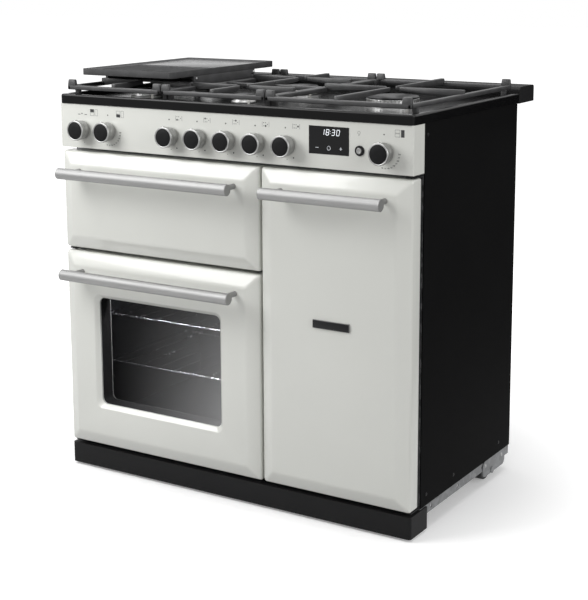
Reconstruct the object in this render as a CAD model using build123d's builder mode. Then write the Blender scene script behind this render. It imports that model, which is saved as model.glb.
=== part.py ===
"""Dual fuel range cooker: three cavities, a five burner hob and side hinged oven doors.

X runs to the right, Y to the back and Z up. The origin is the middle of the overall box, on the floor.
"""
import os
from build123d import *

os.makedirs("parts", exist_ok=True)

# Overall sizes
hob_width = 900.0
body_depth = 600.0
handle_reach = 73.0
shell_depth = 510.0
hob_depth = 515.0
sheet = 2.0
touch_gap = 0.3
running_gap = 0.1

# Heights, from the floor up
plinth_floor_gap = 6.0
plinth_height = 48.0
plinth_door_gap = 9.0
door_column_height = 690.5
lower_door_height = 458.0
door_gap = 8.0
door_panel_gap = 8.5
panel_height = 99.0
rim_height = 21.0
upstand_rise = 13.0

# Widths of the front
left_door_width = 534.0
column_gap = 5.5
door_side_inset = 2.5
panel_side_inset = 0.5
side_inset = 1.5
side_sheet = 2.5

# Base frame, rollers and feet
base_rise = 30.0
base_drop = 24.0
rail_hole_radius = 4.5
rail_hole_first = 105.0
rail_hole_pitch = 130.0
rail_hole_count = 3
plinth_wall = 3.5
plinth_return = 76.0
plinth_corner = 6.0
roller_radius = 26.0
roller_width = 24.0
roller_depth = 415.0
axle_radius = 5.0
axle_length = 42.0
axle_collar_radius = 9.0
axle_collar_width = 3.0
axle_head_radius = 8.0
axle_head_height = 1.5
bracket_length = 120.0
bracket_height = 37.0
bracket_below_axle = 5.5
bracket_setback = 10.0
bracket_sheet = 2.0
bracket_corner = 12.0
foot_inset = 66.0
foot_depth = 110.0
foot_pad_radius = 20.0
foot_pad_height = 8.0
foot_pad_chamfer = 2.5
foot_stud_radius = 5.0
foot_stud_length = 92.0
foot_nut_radius = 10.0
foot_nut_height = 15.0

# Doors
door_setback = 3.0
door_edge_depth = 41.0
seal_gap = 6.0
seal_width = 8.0
seal_margin = 3.0
seal_clearance = 0.5
bevel_width = 30.0
field_rise = 13.0
door_wall = 2.0
door_corner = 3.0
field_corner = 8.0
liner_thickness = 4.0
window_width = 336.0
window_height = 253.0
window_bottom_rise = 103.0
window_offset = -3.5
window_corner = 14.0
reveal_width = 9.0
reveal_depth = 10.0
glass_thickness = 4.0
glass_lap = 18.0
hinge_inset = 12.0
hinge_axis_depth = 22.0
hinge_pin_radius = 4.0
hinge_pin_length = 15.0
hinge_block = 20.0
hinge_plate_width = 20.0
hinge_plate_thickness = 3.0
hinge_plate_gap = 2.0

# Handles
bar_radius = 12.5
bar_chamfer = 1.0
bar_side_margin = 37.0
bar_drop = 44.0
post_radius = 6.0
post_inset = 19.0

# Cavities, shelves, elements and fans
cavity_depth = 400.0
cavity_side_margin = 49.0
oven_bottom_rise = 49.0
oven_top_drop = 29.0
tall_side_margin = 37.5
tall_top_drop = 38.0
grill_bottom_rise = 27.0
grill_top_drop = 30.0
rib_size = 8.0
rib_end_gap = 10.0
shelf_inset = 2.0
shelf_front_gap = 26.0
shelf_rear_gap = 60.0
shelf_bar = 5.0
shelf_rod_radius = 2.3
shelf_wire_lift = 1.6
shelf_wire_radius = 2.0
shelf_wire_count = 8
left_shelf_rises = (129.0, 244.0)
tall_shelf_rises = (150.0, 300.0, 450.0)
element_radius = 3.5
element_run_count = 6
element_bend = 20.0
element_side_margin = 62.0
element_end_gap = 40.0
element_roof_gap = 14.0
loop_half = 92.0
loop_corner = 60.0
loop_gap = 20.0
loop_leg_offset = 15.0
loop_leg_bend = 8.0
fan_radius = 74.0
fan_hub_radius = 14.0
fan_depth = 18.0
fan_wall_gap = 8.0
fan_blade_count = 8
fan_blade_thickness = 2.0
fan_shaft_radius = 4.0
fan_shaft_hole_radius = 7.0
fan_shaft_reach = 28.0
motor_radius = 36.0
motor_depth = 38.0

# Grill drawer
runner_width = 8.0
runner_height = 16.0
runner_rise = 44.0
runner_length = 386.0
rail_wall = 4.0
rail_lip = 3.0
pan_wall = 2.0
pan_depth = 36.0
pan_length = 340.0
pan_front_gap = 26.0
pan_side_gap = 2.0

# Control panel
panel_return = 46.0
panel_edge_radius = 1.5
control_opening_drop = 11.5
knob_rise = 42.0
knob_pitch = 74.25
left_knob_margin = 65.3
burner_knob_gap = 172.2
right_knob_margin = 63.1
knob_panel_gap = 4.0
knob_length = 27.0
knob_back_radius = 21.0
knob_front_radius = 23.0
knob_edge_radius = 1.5
knob_face_radius = 18.7
knob_face_depth = 1.0
knob_bore_depth = 16.0
spindle_radius = 4.0
spindle_hole_radius = 6.0
spindle_reach = 60.0
spindle_travel_room = 8.0
display_knob_offset = 128.7
display_rise = 58.0
display_width = 93.5
display_height = 57.0
display_lap = 3.0
display_body_depth = 20.0
display_proud = 0.5
button_knob_offset = 57.4
button_radius = 8.0
button_proud = 5.0
button_flange_radius = 11.0
button_flange_height = 3.0
button_stem_radius = 4.0
button_stem_length = 20.0

# Gas rail, taps, switches and pipes
tap_depth = 86.0
tap_neck_depth = 30.0
tap_neck_radius = 9.0
tap_width = 26.0
tap_below = 16.0
tap_above = 30.0
switch_depth = 72.0
switch_size = 34.0
rail_size = 18.0
rail_overrun = 40.0
inlet_margin = 235.0
inlet_drop = 9.0
inlet_pipe_radius = 7.0
inlet_radius = 10.5
inlet_length = 25.0
inlet_hole_radius = 12.5
inlet_behind = 10.0
pipe_radius = 4.0
pipe_bend = 8.0
pipe_turn_depth = 100.0
pipe_low_rise = 12.0
pipe_high_rise = 24.0

# Hob, burners, pan supports and griddle
trim_overhang = 2.0
trim_corner = 10.0
trim_edge_radius = 4.0
rim_width = 10.0
well_depth = 12.0
well_corner = 14.0
vent_drop = 3.0
vent_front_radius = 12.0
vent_rear_radius = 6.0
vent_slot_count = 26
vent_slot_length = 24.0
vent_slot_width = 6.0
vent_slot_pitch = 32.0
burner_front_depth = 134.5
burner_rear_depth = 378.5
support_front_depth = 11.5
support_depth = 490.0
support_end_margin = 13.0
left_support_width = 262.0
right_support_width = 340.0
support_gap = 2.0
support_rail_width = 9.0
support_rail_height = 10.0
support_rim_gap = 9.0
support_foot = 12.0
support_foot_inset = 30.0
finger_width = 7.0
finger_height = 12.0
finger_lift = 8.0
finger_end_gap = 16.0
finger_block = 14.0
lug_width = 22.0
lug_depth = 10.0
lug_height = 13.0
small_burner = 27.0
medium_burner = 37.0
rapid_burner = 45.0
wok_burner = 62.0
burner_neck_radius = 22.0
burner_cup = 40.0
burner_cup_height = 34.0
burner_cup_drop = 28.0
burner_head_height = 15.0
burner_flange_height = 5.0
burner_cap_height = 5.0
burner_port_count = 16
burner_port_width = 2.5
griddle_inset = 3.0
griddle_setback = 10.0
griddle_depth = 416.0
griddle_height = 15.0
griddle_rim = 6.0
griddle_well = 9.0
griddle_skirt = 8.0
griddle_skirt_height = 20.0
griddle_skirt_inset = 84.0
griddle_notch_gap = 3.0
griddle_corner = 8.0

# Rear panel
louvre_columns = 6
louvre_rows = 5
louvre_length = 70.0
louvre_width = 6.0
louvre_pitch_x = 110.0
louvre_pitch_z = 22.0
louvre_rise = 520.0
terminal_margin = 180.0
terminal_rise = 110.0
terminal_width = 120.0
terminal_height = 100.0
terminal_depth = 40.0
cable_hole_radius = 9.0
tip_hole_radius = 3.0
tip_hole_spacing = 120.0
tip_hole_drop = 60.0

# Depths worked out from the overall sizes
front_y = -(body_depth + handle_reach) / 2
panel_y = front_y + handle_reach
panel_back_y = panel_y + sheet
rear_y = panel_y + body_depth
door_edge_y = panel_y + door_setback
door_rear_y = door_edge_y + door_edge_depth
field_y = door_edge_y - field_rise
frame_y = door_rear_y + seal_gap
cavity_y = frame_y + sheet
cavity_rear_y = cavity_y + cavity_depth
shell_rear_y = panel_y + shell_depth
hob_rear_y = panel_y + hob_depth
bar_y = front_y + bar_radius
hinge_y = door_rear_y - hinge_axis_depth
liner_y = door_rear_y - liner_thickness

# Widths worked out from the overall sizes
hob_half = hob_width / 2
panel_half = hob_half - panel_side_inset
door_half = hob_half - door_side_inset
side_half = hob_half - side_inset
body_half = side_half - side_sheet
plinth_half = body_half + plinth_wall
left_door_x = (-door_half, -door_half + left_door_width)
tall_door_x = (left_door_x[1] + column_gap, door_half)
grill_knob_x = left_knob_margin - panel_half
left_oven_knob_x = grill_knob_x + knob_pitch
first_burner_knob_x = left_oven_knob_x + burner_knob_gap
tall_knob_x = panel_half - right_knob_margin
display_x = tall_knob_x - display_knob_offset
button_x = tall_knob_x - button_knob_offset
inlet_x = hob_half - inlet_margin
terminal_x = terminal_margin - hob_half
support_half_span = hob_half - support_end_margin
support_left_split = left_support_width + support_gap / 2 - support_half_span
support_right_split = support_half_span - right_support_width - support_gap / 2

# Heights worked out from the overall sizes
plinth_top = plinth_floor_gap + plinth_height
base_bottom = plinth_floor_gap + base_rise
base_top = base_bottom + base_drop
side_bottom = base_top - sheet
doors_bottom = plinth_top + plinth_door_gap
doors_top = doors_bottom + door_column_height
left_door_z = (doors_bottom, doors_bottom + lower_door_height)
grill_front_z = (left_door_z[1] + door_gap, doors_top)
tall_door_z = (doors_bottom, doors_top)
panel_bottom = doors_top + door_panel_gap
panel_top = panel_bottom + panel_height
rim_top = panel_top + rim_height
well_floor = rim_top - well_depth
upstand_top = rim_top + upstand_rise
knob_z = panel_bottom + knob_rise

# Inner spans of the three cavities
left_cavity_x = (left_door_x[0] + cavity_side_margin, left_door_x[1] - cavity_side_margin)
left_cavity_z = (left_door_z[0] + oven_bottom_rise, left_door_z[1] - oven_top_drop)
grill_cavity_z = (grill_front_z[0] + grill_bottom_rise, grill_front_z[1] - grill_top_drop)
tall_cavity_x = (tall_door_x[0] + tall_side_margin, tall_door_x[1] - tall_side_margin)
tall_cavity_z = (tall_door_z[0] + oven_bottom_rise, tall_door_z[1] - tall_top_drop)

# Burners: name, column, depth of the centre, head radius and height of the pipe above the knob axis
support_spans = {
    "left": (-support_half_span, support_left_split - support_gap / 2),
    "centre": (support_left_split + support_gap / 2, support_right_split - support_gap / 2),
    "right": (support_right_split + support_gap / 2, support_half_span),
}
burner_middle_depth = support_front_depth + support_depth / 2
burners = {
    "left_front": ("left", burner_front_depth, medium_burner, pipe_low_rise),
    "left_rear": ("left", burner_rear_depth, medium_burner, pipe_high_rise),
    "centre_rear": ("centre", burner_rear_depth, rapid_burner, pipe_high_rise),
    "centre_front": ("centre", burner_front_depth, small_burner, pipe_low_rise),
    "right": ("right", burner_middle_depth, wok_burner, pipe_low_rise),
}
burner_knob_x = {name: first_burner_knob_x + i * knob_pitch for i, name in enumerate(burners)}
switch_knob_x = {
    "grill": grill_knob_x,
    "left_oven": left_oven_knob_x,
    "tall_oven": tall_knob_x,
}


def middle(span):
    """Gives the middle of a span."""
    return (span[0] + span[1]) / 2


def inside(span, margin):
    """Draws both ends of a span in by a margin."""
    return (span[0] + margin, span[1] - margin)


def block(x_span, y_span, z_span, mode=Mode.ADD):
    """Adds or cuts a box between three spans in the open part."""
    with Locations((middle(x_span), middle(y_span), middle(z_span))):
        Box(x_span[1] - x_span[0], y_span[1] - y_span[0], z_span[1] - z_span[0], mode=mode)


def rod_x(radius, x_span, y, z, mode=Mode.ADD):
    """Adds or cuts a round bar along X in the open part."""
    with Locations(Location((middle(x_span), y, z), (0, 90, 0))):
        Cylinder(radius, x_span[1] - x_span[0], mode=mode)


def rod_y(radius, y_span, x, z, mode=Mode.ADD):
    """Adds or cuts a round bar along Y in the open part."""
    with Locations(Location((x, middle(y_span), z), (90, 0, 0))):
        Cylinder(radius, y_span[1] - y_span[0], mode=mode)


def rod_z(radius, z_span, x, y, mode=Mode.ADD):
    """Adds or cuts a round bar along Z in the open part."""
    with Locations((x, y, middle(z_span))):
        Cylinder(radius, z_span[1] - z_span[0], mode=mode)


def facing(y):
    """Gives the upright plane at a depth, facing the front, with X to the right and Z up."""
    return Plane(origin=(0, y, 0), x_dir=(1, 0, 0), z_dir=(0, -1, 0))


def mirrored(span, side):
    """Gives a span of X on the right side, or its mirror on the left."""
    return span if side > 0 else (-span[1], -span[0])


def save(builder, label):
    """Labels a finished piece and writes it out."""
    builder.part.label = label
    export_step(builder.part, f"parts/{label}.step")


# Base frame: an inverted tray of galvanised sheet with a weld nut for each levelling foot
foot_x = body_half - foot_inset
foot_y = panel_y + foot_depth
rail_hole_z = middle((base_bottom, side_bottom))
with BuildPart() as base_frame:
    block((-body_half, body_half), (frame_y, shell_rear_y), (base_bottom, base_top))
    block(
        inside((-body_half, body_half), sheet),
        inside((frame_y, shell_rear_y), sheet),
        (base_bottom, base_top - sheet),
        Mode.SUBTRACT,
    )
    for i in range(rail_hole_count):
        hole_y = panel_y + rail_hole_first + i * rail_hole_pitch
        rod_x(rail_hole_radius, (-body_half, body_half), hole_y, rail_hole_z, Mode.SUBTRACT)
    for side in (-1, 1):
        rod_z(foot_nut_radius, (base_top, base_top + foot_nut_height), side * foot_x, foot_y)
        stud_hole = foot_stud_radius + running_gap
        rod_z(stud_hole, (base_bottom, base_top + foot_nut_height), side * foot_x, foot_y, Mode.SUBTRACT)
save(base_frame, "base_frame")

# Levelling feet: a round pad on a threaded stud
for side, name in ((-1, "left_foot"), (1, "right_foot")):
    with BuildPart() as foot:
        rod_z(foot_pad_radius, (0, foot_pad_height), side * foot_x, foot_y)
        chamfer(foot.edges().group_by(Axis.Z)[-1], foot_pad_chamfer)
        rod_z(foot_stud_radius, (foot_pad_height, foot_pad_height + foot_stud_length), side * foot_x, foot_y)
    save(foot, name)

# Roller brackets: a plate on each side flange with a riveted stub axle
axle_y = panel_y + roller_depth
axle_z = roller_radius
axle_end = body_half - axle_length
with BuildPart() as roller_brackets:
    for side in (-1, 1):
        plate_x = mirrored((body_half, body_half + bracket_sheet), side)
        plate_bottom = axle_z - bracket_below_axle
        with BuildSketch(Plane.YZ.offset(plate_x[0])):
            with Locations((axle_y + bracket_setback, plate_bottom + bracket_height / 2)):
                RectangleRounded(bracket_length, bracket_height, bracket_corner)
        extrude(amount=bracket_sheet)
        rod_x(axle_radius, mirrored((axle_end, body_half + bracket_sheet), side), axle_y, axle_z)
        rod_x(axle_collar_radius, mirrored((axle_end, axle_end + axle_collar_width), side), axle_y, axle_z)
        head_x = (body_half, body_half + bracket_sheet + axle_head_height)
        rod_x(axle_head_radius, mirrored(head_x, side), axle_y, axle_z)
save(roller_brackets, "roller_brackets")

# Rear rollers: a tyre on a bored hub
for side, name in ((-1, "left_roller"), (1, "right_roller")):
    roller_start = axle_end + axle_collar_width + touch_gap
    roller_x = mirrored((roller_start, roller_start + roller_width), side)
    with BuildPart() as roller:
        rod_x(roller_radius, roller_x, axle_y, axle_z)
        fillet(roller.edges().filter_by(GeomType.CIRCLE), sheet)
        rod_x(axle_radius + running_gap, roller_x, axle_y, axle_z, Mode.SUBTRACT)
    save(roller, name)

# Plinth: a front board with two side returns and a ledge back to the base frame
with BuildPart() as plinth:
    plinth_y = (door_edge_y, door_edge_y + plinth_return)
    block((-plinth_half, plinth_half), plinth_y, (plinth_floor_gap, plinth_top))
    fillet(plinth.edges().filter_by(Axis.Z).group_by(Axis.Y)[0], plinth_corner)
    block(
        (-body_half, body_half),
        (door_edge_y + plinth_wall, plinth_y[1]),
        (plinth_floor_gap, plinth_top - plinth_wall),
        Mode.SUBTRACT,
    )
    block((-body_half, body_half), (frame_y, plinth_y[1]), (plinth_floor_gap, plinth_top), Mode.SUBTRACT)
save(plinth, "plinth")

# Side panels
with BuildPart() as side_panels:
    for side in (-1, 1):
        block(mirrored((body_half, side_half), side), (frame_y, shell_rear_y), (side_bottom, panel_top))
save(side_panels, "side_panels")

# Rear panel: louvres, a terminal cover with a cable entry, a gas inlet hole and safety bracket holes
inlet_z = knob_z - inlet_drop
rear_sheet_y = (shell_rear_y - sheet, shell_rear_y)
with BuildPart() as rear_panel:
    block((-body_half, body_half), rear_sheet_y, (base_top, panel_top))
    with BuildSketch(facing(shell_rear_y)):
        with Locations((0, base_top + louvre_rise)):
            with GridLocations(louvre_pitch_x, louvre_pitch_z, louvre_columns, louvre_rows):
                SlotOverall(louvre_length, louvre_width)
    extrude(amount=sheet, mode=Mode.SUBTRACT)
    terminal_x_span = (terminal_x - terminal_width / 2, terminal_x + terminal_width / 2)
    terminal_z = (base_top + terminal_rise, base_top + terminal_rise + terminal_height)
    block(terminal_x_span, (shell_rear_y, shell_rear_y + terminal_depth), terminal_z)
    block(
        inside(terminal_x_span, sheet),
        (rear_sheet_y[0], shell_rear_y + terminal_depth - sheet),
        inside(terminal_z, sheet),
        Mode.SUBTRACT,
    )
    cable_y = shell_rear_y + terminal_depth / 2
    rod_z(cable_hole_radius, (terminal_z[0], terminal_z[0] + sheet), terminal_x, cable_y, Mode.SUBTRACT)
    rod_y(inlet_hole_radius, rear_sheet_y, inlet_x, inlet_z, Mode.SUBTRACT)
    for side in (-1, 1):
        tip_x = side * tip_hole_spacing / 2
        rod_y(tip_hole_radius, rear_sheet_y, tip_x, panel_top - tip_hole_drop, Mode.SUBTRACT)
save(rear_panel, "rear_panel")

# Front frame: the face that the doors close on, open at each cavity and behind the control panel
frame_span = (frame_y, cavity_y)
control_opening_z = (knob_z - rail_size - tap_below, panel_top - control_opening_drop)
with BuildPart() as front_frame:
    block((-body_half, body_half), frame_span, (base_top, panel_top))
    block(left_cavity_x, frame_span, left_cavity_z, Mode.SUBTRACT)
    block(left_cavity_x, frame_span, grill_cavity_z, Mode.SUBTRACT)
    block(tall_cavity_x, frame_span, tall_cavity_z, Mode.SUBTRACT)
    block(inside((-body_half, body_half), rim_width), frame_span, control_opening_z, Mode.SUBTRACT)
save(front_frame, "front_frame")

# Cavities: enamelled boxes, open at the front, with pressed ribs that carry the shelves
left_fan = (middle(left_cavity_x), middle(left_cavity_z))
tall_fan = (middle(tall_cavity_x), middle(tall_cavity_z))


def cavity(x_span, z_span, shelf_rises=(), fan=None):
    """Makes one open fronted cavity with its shelf ribs and its fan shaft hole."""
    with BuildPart() as box:
        block(inside(x_span, -sheet), (cavity_y, cavity_rear_y + sheet), inside(z_span, -sheet))
        block(x_span, (cavity_y, cavity_rear_y), z_span, Mode.SUBTRACT)
        for rise in shelf_rises:
            rib_z = (z_span[0] + rise - rib_size, z_span[0] + rise)
            rib_y = inside((cavity_y, cavity_rear_y), rib_end_gap)
            block((x_span[0], x_span[0] + rib_size), rib_y, rib_z)
            block((x_span[1] - rib_size, x_span[1]), rib_y, rib_z)
        if fan:
            rear_wall_y = (cavity_rear_y, cavity_rear_y + sheet)
            rod_y(fan_shaft_hole_radius, rear_wall_y, fan[0], fan[1], Mode.SUBTRACT)
    return box


save(cavity(left_cavity_x, grill_cavity_z), "grill_cavity")
save(cavity(left_cavity_x, left_cavity_z, left_shelf_rises, left_fan), "left_oven_cavity")
save(cavity(tall_cavity_x, tall_cavity_z, tall_shelf_rises, tall_fan), "tall_oven_cavity")

# Oven seals: a flat ring round each oven opening, on the front frame
with BuildPart() as oven_seals:
    for x_span, z_span in ((left_cavity_x, left_cavity_z), (tall_cavity_x, tall_cavity_z)):
        inner_x, inner_z = inside(x_span, -seal_margin), inside(z_span, -seal_margin)
        with BuildSketch(facing(frame_y)):
            with Locations((middle(inner_x), middle(inner_z))):
                inner_size = (inner_x[1] - inner_x[0], inner_z[1] - inner_z[0])
                outer_size = [size + 2 * seal_width for size in inner_size]
                RectangleRounded(outer_size[0], outer_size[1], 2 * seal_width)
                RectangleRounded(inner_size[0], inner_size[1], seal_width, mode=Mode.SUBTRACT)
        extrude(amount=seal_gap - seal_clearance)
save(oven_seals, "oven_seals")

# Oven shelves: two side bars, a front and a rear rod, and wires across the top
with BuildPart() as oven_shelves:
    shelf_y = (cavity_y + shelf_front_gap, cavity_rear_y - shelf_rear_gap)
    shelf_places = [(left_cavity_x, left_cavity_z[0] + rise) for rise in left_shelf_rises]
    shelf_places += [(tall_cavity_x, tall_cavity_z[0] + rise) for rise in tall_shelf_rises]
    for x_span, seat_z in shelf_places:
        shelf_x = inside(x_span, shelf_inset)
        bar_z = (seat_z, seat_z + shelf_bar)
        block((shelf_x[0], shelf_x[0] + shelf_bar), shelf_y, bar_z)
        block((shelf_x[1] - shelf_bar, shelf_x[1]), shelf_y, bar_z)
        for end_y in inside(shelf_y, shelf_bar):
            rod_x(shelf_rod_radius, inside(shelf_x, shelf_bar / 2), end_y, middle(bar_z))
        wire_z = middle(bar_z) + shelf_wire_lift
        wire_pitch = (shelf_x[1] - shelf_x[0]) / (shelf_wire_count + 1)
        for i in range(shelf_wire_count):
            rod_y(shelf_wire_radius, shelf_y, shelf_x[0] + (i + 1) * wire_pitch, wire_z)
save(oven_shelves, "oven_shelves")

# Heating elements: a grill element under the roof of the grill, and a loop round each oven fan
with BuildPart() as heating_elements:
    element_z = grill_cavity_z[1] - element_roof_gap
    run_x = inside(left_cavity_x, element_side_margin)
    run_y = inside((cavity_y, cavity_rear_y), element_end_gap)
    run_pitch = (run_x[1] - run_x[0]) / (element_run_count - 1)
    turns = []
    for i in range(element_run_count):
        ends = run_y if i % 2 else run_y[::-1]
        turns += [(run_x[0] + i * run_pitch, y, element_z) for y in ends]
    turns[0] = (run_x[0], cavity_rear_y, element_z)
    turns[-1] = (run_x[1], cavity_rear_y, element_z)
    with BuildLine() as element_path:
        FilletPolyline(*turns, radius=element_bend)
    with BuildSketch(Plane(origin=element_path.line @ 0, z_dir=element_path.line % 0)):
        Circle(element_radius)
    sweep(path=element_path.line)
    for fan_x, fan_z in (left_fan, tall_fan):
        loop_y = cavity_rear_y - loop_gap
        low, high = fan_z - loop_half, fan_z + loop_half
        route = [
            (fan_x - loop_leg_offset, cavity_rear_y, low),
            (fan_x - loop_leg_offset, loop_y, low),
            (fan_x - loop_half, loop_y, low),
            (fan_x - loop_half, loop_y, high),
            (fan_x + loop_half, loop_y, high),
            (fan_x + loop_half, loop_y, low),
            (fan_x + loop_leg_offset, loop_y, low),
            (fan_x + loop_leg_offset, cavity_rear_y, low),
        ]
        corners = [loop_corner for _ in route[2:-2]]
        bends = [loop_leg_bend, *corners, loop_leg_bend]
        with BuildLine() as loop_path:
            FilletPolyline(*route, radius=bends)
        with BuildSketch(Plane(origin=loop_path.line @ 0, z_dir=loop_path.line % 0)):
            Circle(element_radius)
        sweep(path=loop_path.line)
save(heating_elements, "heating_elements")

# Fan motors on the back of each oven, and the fans on their shafts
motor_y = (cavity_rear_y + sheet, cavity_rear_y + sheet + motor_depth)
fan_y = (cavity_rear_y - fan_wall_gap - fan_depth, cavity_rear_y - fan_wall_gap)
with BuildPart() as fan_motors:
    for fan_x, fan_z in (left_fan, tall_fan):
        rod_y(motor_radius, motor_y, fan_x, fan_z)
        rod_y(fan_shaft_radius + running_gap, motor_y, fan_x, fan_z, Mode.SUBTRACT)
save(fan_motors, "fan_motors")

for (fan_x, fan_z), name in ((left_fan, "left_oven_fan"), (tall_fan, "tall_oven_fan")):
    with BuildPart() as fan:
        with BuildSketch(facing(fan_y[1])):
            with Locations((fan_x, fan_z)):
                Circle(fan_hub_radius)
                with PolarLocations(fan_radius / 2, fan_blade_count):
                    Rectangle(fan_radius, fan_blade_thickness)
        extrude(amount=fan_depth)
        rod_y(fan_shaft_radius, (fan_y[1], motor_y[0] + fan_shaft_reach), fan_x, fan_z)
    save(fan, name)

# Control panel: a folded sheet, open at the top and the back
switch_axes = [(x, knob_z) for x in switch_knob_x.values()]
tap_axes = [(x, knob_z) for x in burner_knob_x.values()]
display_centre = (display_x, panel_bottom + display_rise)
with BuildPart() as control_panel:
    panel_span = (panel_y, panel_y + panel_return)
    block((-panel_half, panel_half), panel_span, (panel_bottom, panel_top))
    fillet(control_panel.edges().filter_by(Axis.Z).group_by(Axis.Y)[0], panel_edge_radius)
    block(
        inside((-panel_half, panel_half), sheet),
        (panel_back_y, panel_span[1]),
        (panel_bottom + sheet, panel_top),
        Mode.SUBTRACT,
    )
    for x, z in switch_axes + tap_axes:
        rod_y(spindle_hole_radius, (panel_y, panel_back_y), x, z, Mode.SUBTRACT)
    rod_y(button_radius + touch_gap, (panel_y, panel_back_y), button_x, knob_z, Mode.SUBTRACT)
    with BuildSketch(facing(panel_back_y)):
        with Locations(display_centre):
            Rectangle(display_width, display_height)
    extrude(amount=sheet, mode=Mode.SUBTRACT)
save(control_panel, "control_panel")

# Display module: a glass front in the panel's cut-out, with its body clamped behind
with BuildPart() as display_module:
    with BuildSketch(facing(panel_back_y)):
        with Locations(display_centre):
            Rectangle(display_width, display_height)
    extrude(amount=sheet + display_proud)
    with BuildSketch(facing(panel_back_y + display_body_depth)):
        with Locations(display_centre):
            Rectangle(display_width + 2 * display_lap, display_height + 2 * display_lap)
    extrude(amount=display_body_depth)
save(display_module, "display_module")

# Light button: a round key in the panel with a flange behind that keeps it in
with BuildPart() as light_button:
    flange_front = panel_back_y + touch_gap
    flange_back = flange_front + button_flange_height
    rod_y(button_radius, (panel_y - button_proud, flange_front), button_x, knob_z)
    fillet(light_button.edges().group_by(Axis.Y)[0], panel_edge_radius)
    rod_y(button_flange_radius, (flange_front, flange_back), button_x, knob_z)
    rod_y(button_stem_radius, (flange_back, flange_back + button_stem_length), button_x, knob_z)
save(light_button, "light_button")

# Knobs: a flared grip with a recessed face, bored for its spindle
knob_back_y = panel_y - knob_panel_gap
knob_front_y = knob_back_y - knob_length
spindle_front_y = knob_back_y - knob_bore_depth
spindle_y = (spindle_front_y, panel_y + spindle_reach)


def knob(x):
    """Makes the grip of one knob, without its bore."""
    with BuildPart() as grip:
        with BuildSketch(facing(knob_back_y)):
            with Locations((x, knob_z)):
                Circle(knob_back_radius)
        with BuildSketch(facing(knob_front_y)):
            with Locations((x, knob_z)):
                Circle(knob_front_radius)
        loft(ruled=True)
        fillet(grip.edges().group_by(Axis.Y)[0], knob_edge_radius)
        rod_y(knob_face_radius, (knob_front_y, knob_front_y + knob_face_depth), x, knob_z, Mode.SUBTRACT)
    return grip.part


for name, x in burner_knob_x.items():
    grip = knob(x)
    with BuildPart() as burner_knob:
        add(grip)
        rod_y(spindle_radius + running_gap, (spindle_front_y, knob_back_y), x, knob_z, Mode.SUBTRACT)
    save(burner_knob, f"{name}_burner_knob")
    with BuildPart() as tap_spindle:
        rod_y(spindle_radius, spindle_y, x, knob_z)
    save(tap_spindle, f"{name}_tap_spindle")

for name, x in switch_knob_x.items():
    grip = knob(x)
    with BuildPart() as switch_knob:
        add(grip)
        rod_y(spindle_radius, spindle_y, x, knob_z)
    save(switch_knob, f"{name}_knob")

# Selector switches for the grill and the ovens, necked to the back of the panel
with BuildPart() as selector_switches:
    for x, z in switch_axes:
        half = switch_size / 2
        block((x - half, x + half), (panel_y + tap_neck_depth, panel_y + switch_depth), (z - half, z + half))
        rod_y(tap_neck_radius, (panel_back_y, panel_y + tap_neck_depth), x, z)
        bore_y = (panel_back_y, spindle_y[1] + touch_gap)
        rod_y(spindle_radius + running_gap, bore_y, x, z, Mode.SUBTRACT)
save(selector_switches, "selector_switches")

# Gas taps, on the front of the rail and necked to the back of the panel
tap_rear_y = panel_y + tap_depth
with BuildPart() as gas_taps:
    for x, z in tap_axes:
        half = tap_width / 2
        block((x - half, x + half), (panel_y + tap_neck_depth, tap_rear_y), (z - tap_below, z + tap_above))
        rod_y(tap_neck_radius, (panel_back_y, panel_y + tap_neck_depth), x, z)
        bore_y = (panel_back_y, spindle_y[1] + spindle_travel_room)
        rod_y(spindle_radius + running_gap, bore_y, x, z, Mode.SUBTRACT)
save(gas_taps, "gas_taps")

# Gas rail: a square tube behind the taps, with its supply pipe and threaded inlet at the rear
tap_x = [x for x, z in tap_axes]
with BuildPart() as gas_rail:
    rail_x = (min(tap_x) - rail_overrun, max(max(tap_x), inlet_x) + rail_overrun)
    block(rail_x, (tap_rear_y, tap_rear_y + rail_size), (knob_z - rail_size, knob_z))
    inlet_y = shell_rear_y + inlet_behind
    rod_y(inlet_pipe_radius, (tap_rear_y + rail_size, inlet_y), inlet_x, inlet_z)
    rod_y(inlet_radius, (inlet_y, inlet_y + inlet_length), inlet_x, inlet_z)
save(gas_rail, "gas_rail")

# Burner pipes: each from its tap to the cup of its burner, in two layers so that none cross
pipe_y = panel_y + pipe_turn_depth
pipe_middle_y = panel_y + burner_middle_depth
burner_place = {
    name: (middle(support_spans[column]), panel_y + depth)
    for name, (column, depth, *_) in burners.items()
}
pipe_lane_x = {"left_rear": support_left_split, "centre_rear": burner_knob_x["centre_rear"]}
with BuildPart() as burner_pipes:
    for name, (*_, rise) in burners.items():
        start_x, (end_x, end_y) = burner_knob_x[name], burner_place[name]
        lane_x = pipe_lane_x.get(name)
        route = [(start_x, tap_rear_y)]
        if lane_x is None:
            route += [(start_x, pipe_y), (end_x, pipe_y)]
        elif lane_x == start_x:
            route += [(start_x, pipe_middle_y), (end_x, pipe_middle_y)]
        else:
            route += [(start_x, pipe_y), (lane_x, pipe_y), (lane_x, pipe_middle_y), (end_x, pipe_middle_y)]
        route += [(end_x, end_y - burner_cup / 2)]
        with BuildLine() as pipe_path:
            FilletPolyline(*[(x, y, knob_z + rise) for x, y in route], radius=pipe_bend)
        with BuildSketch(Plane(origin=pipe_path.line @ 0, z_dir=pipe_path.line % 0)):
            Circle(pipe_radius)
        sweep(path=pipe_path.line)
save(burner_pipes, "burner_pipes")

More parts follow.
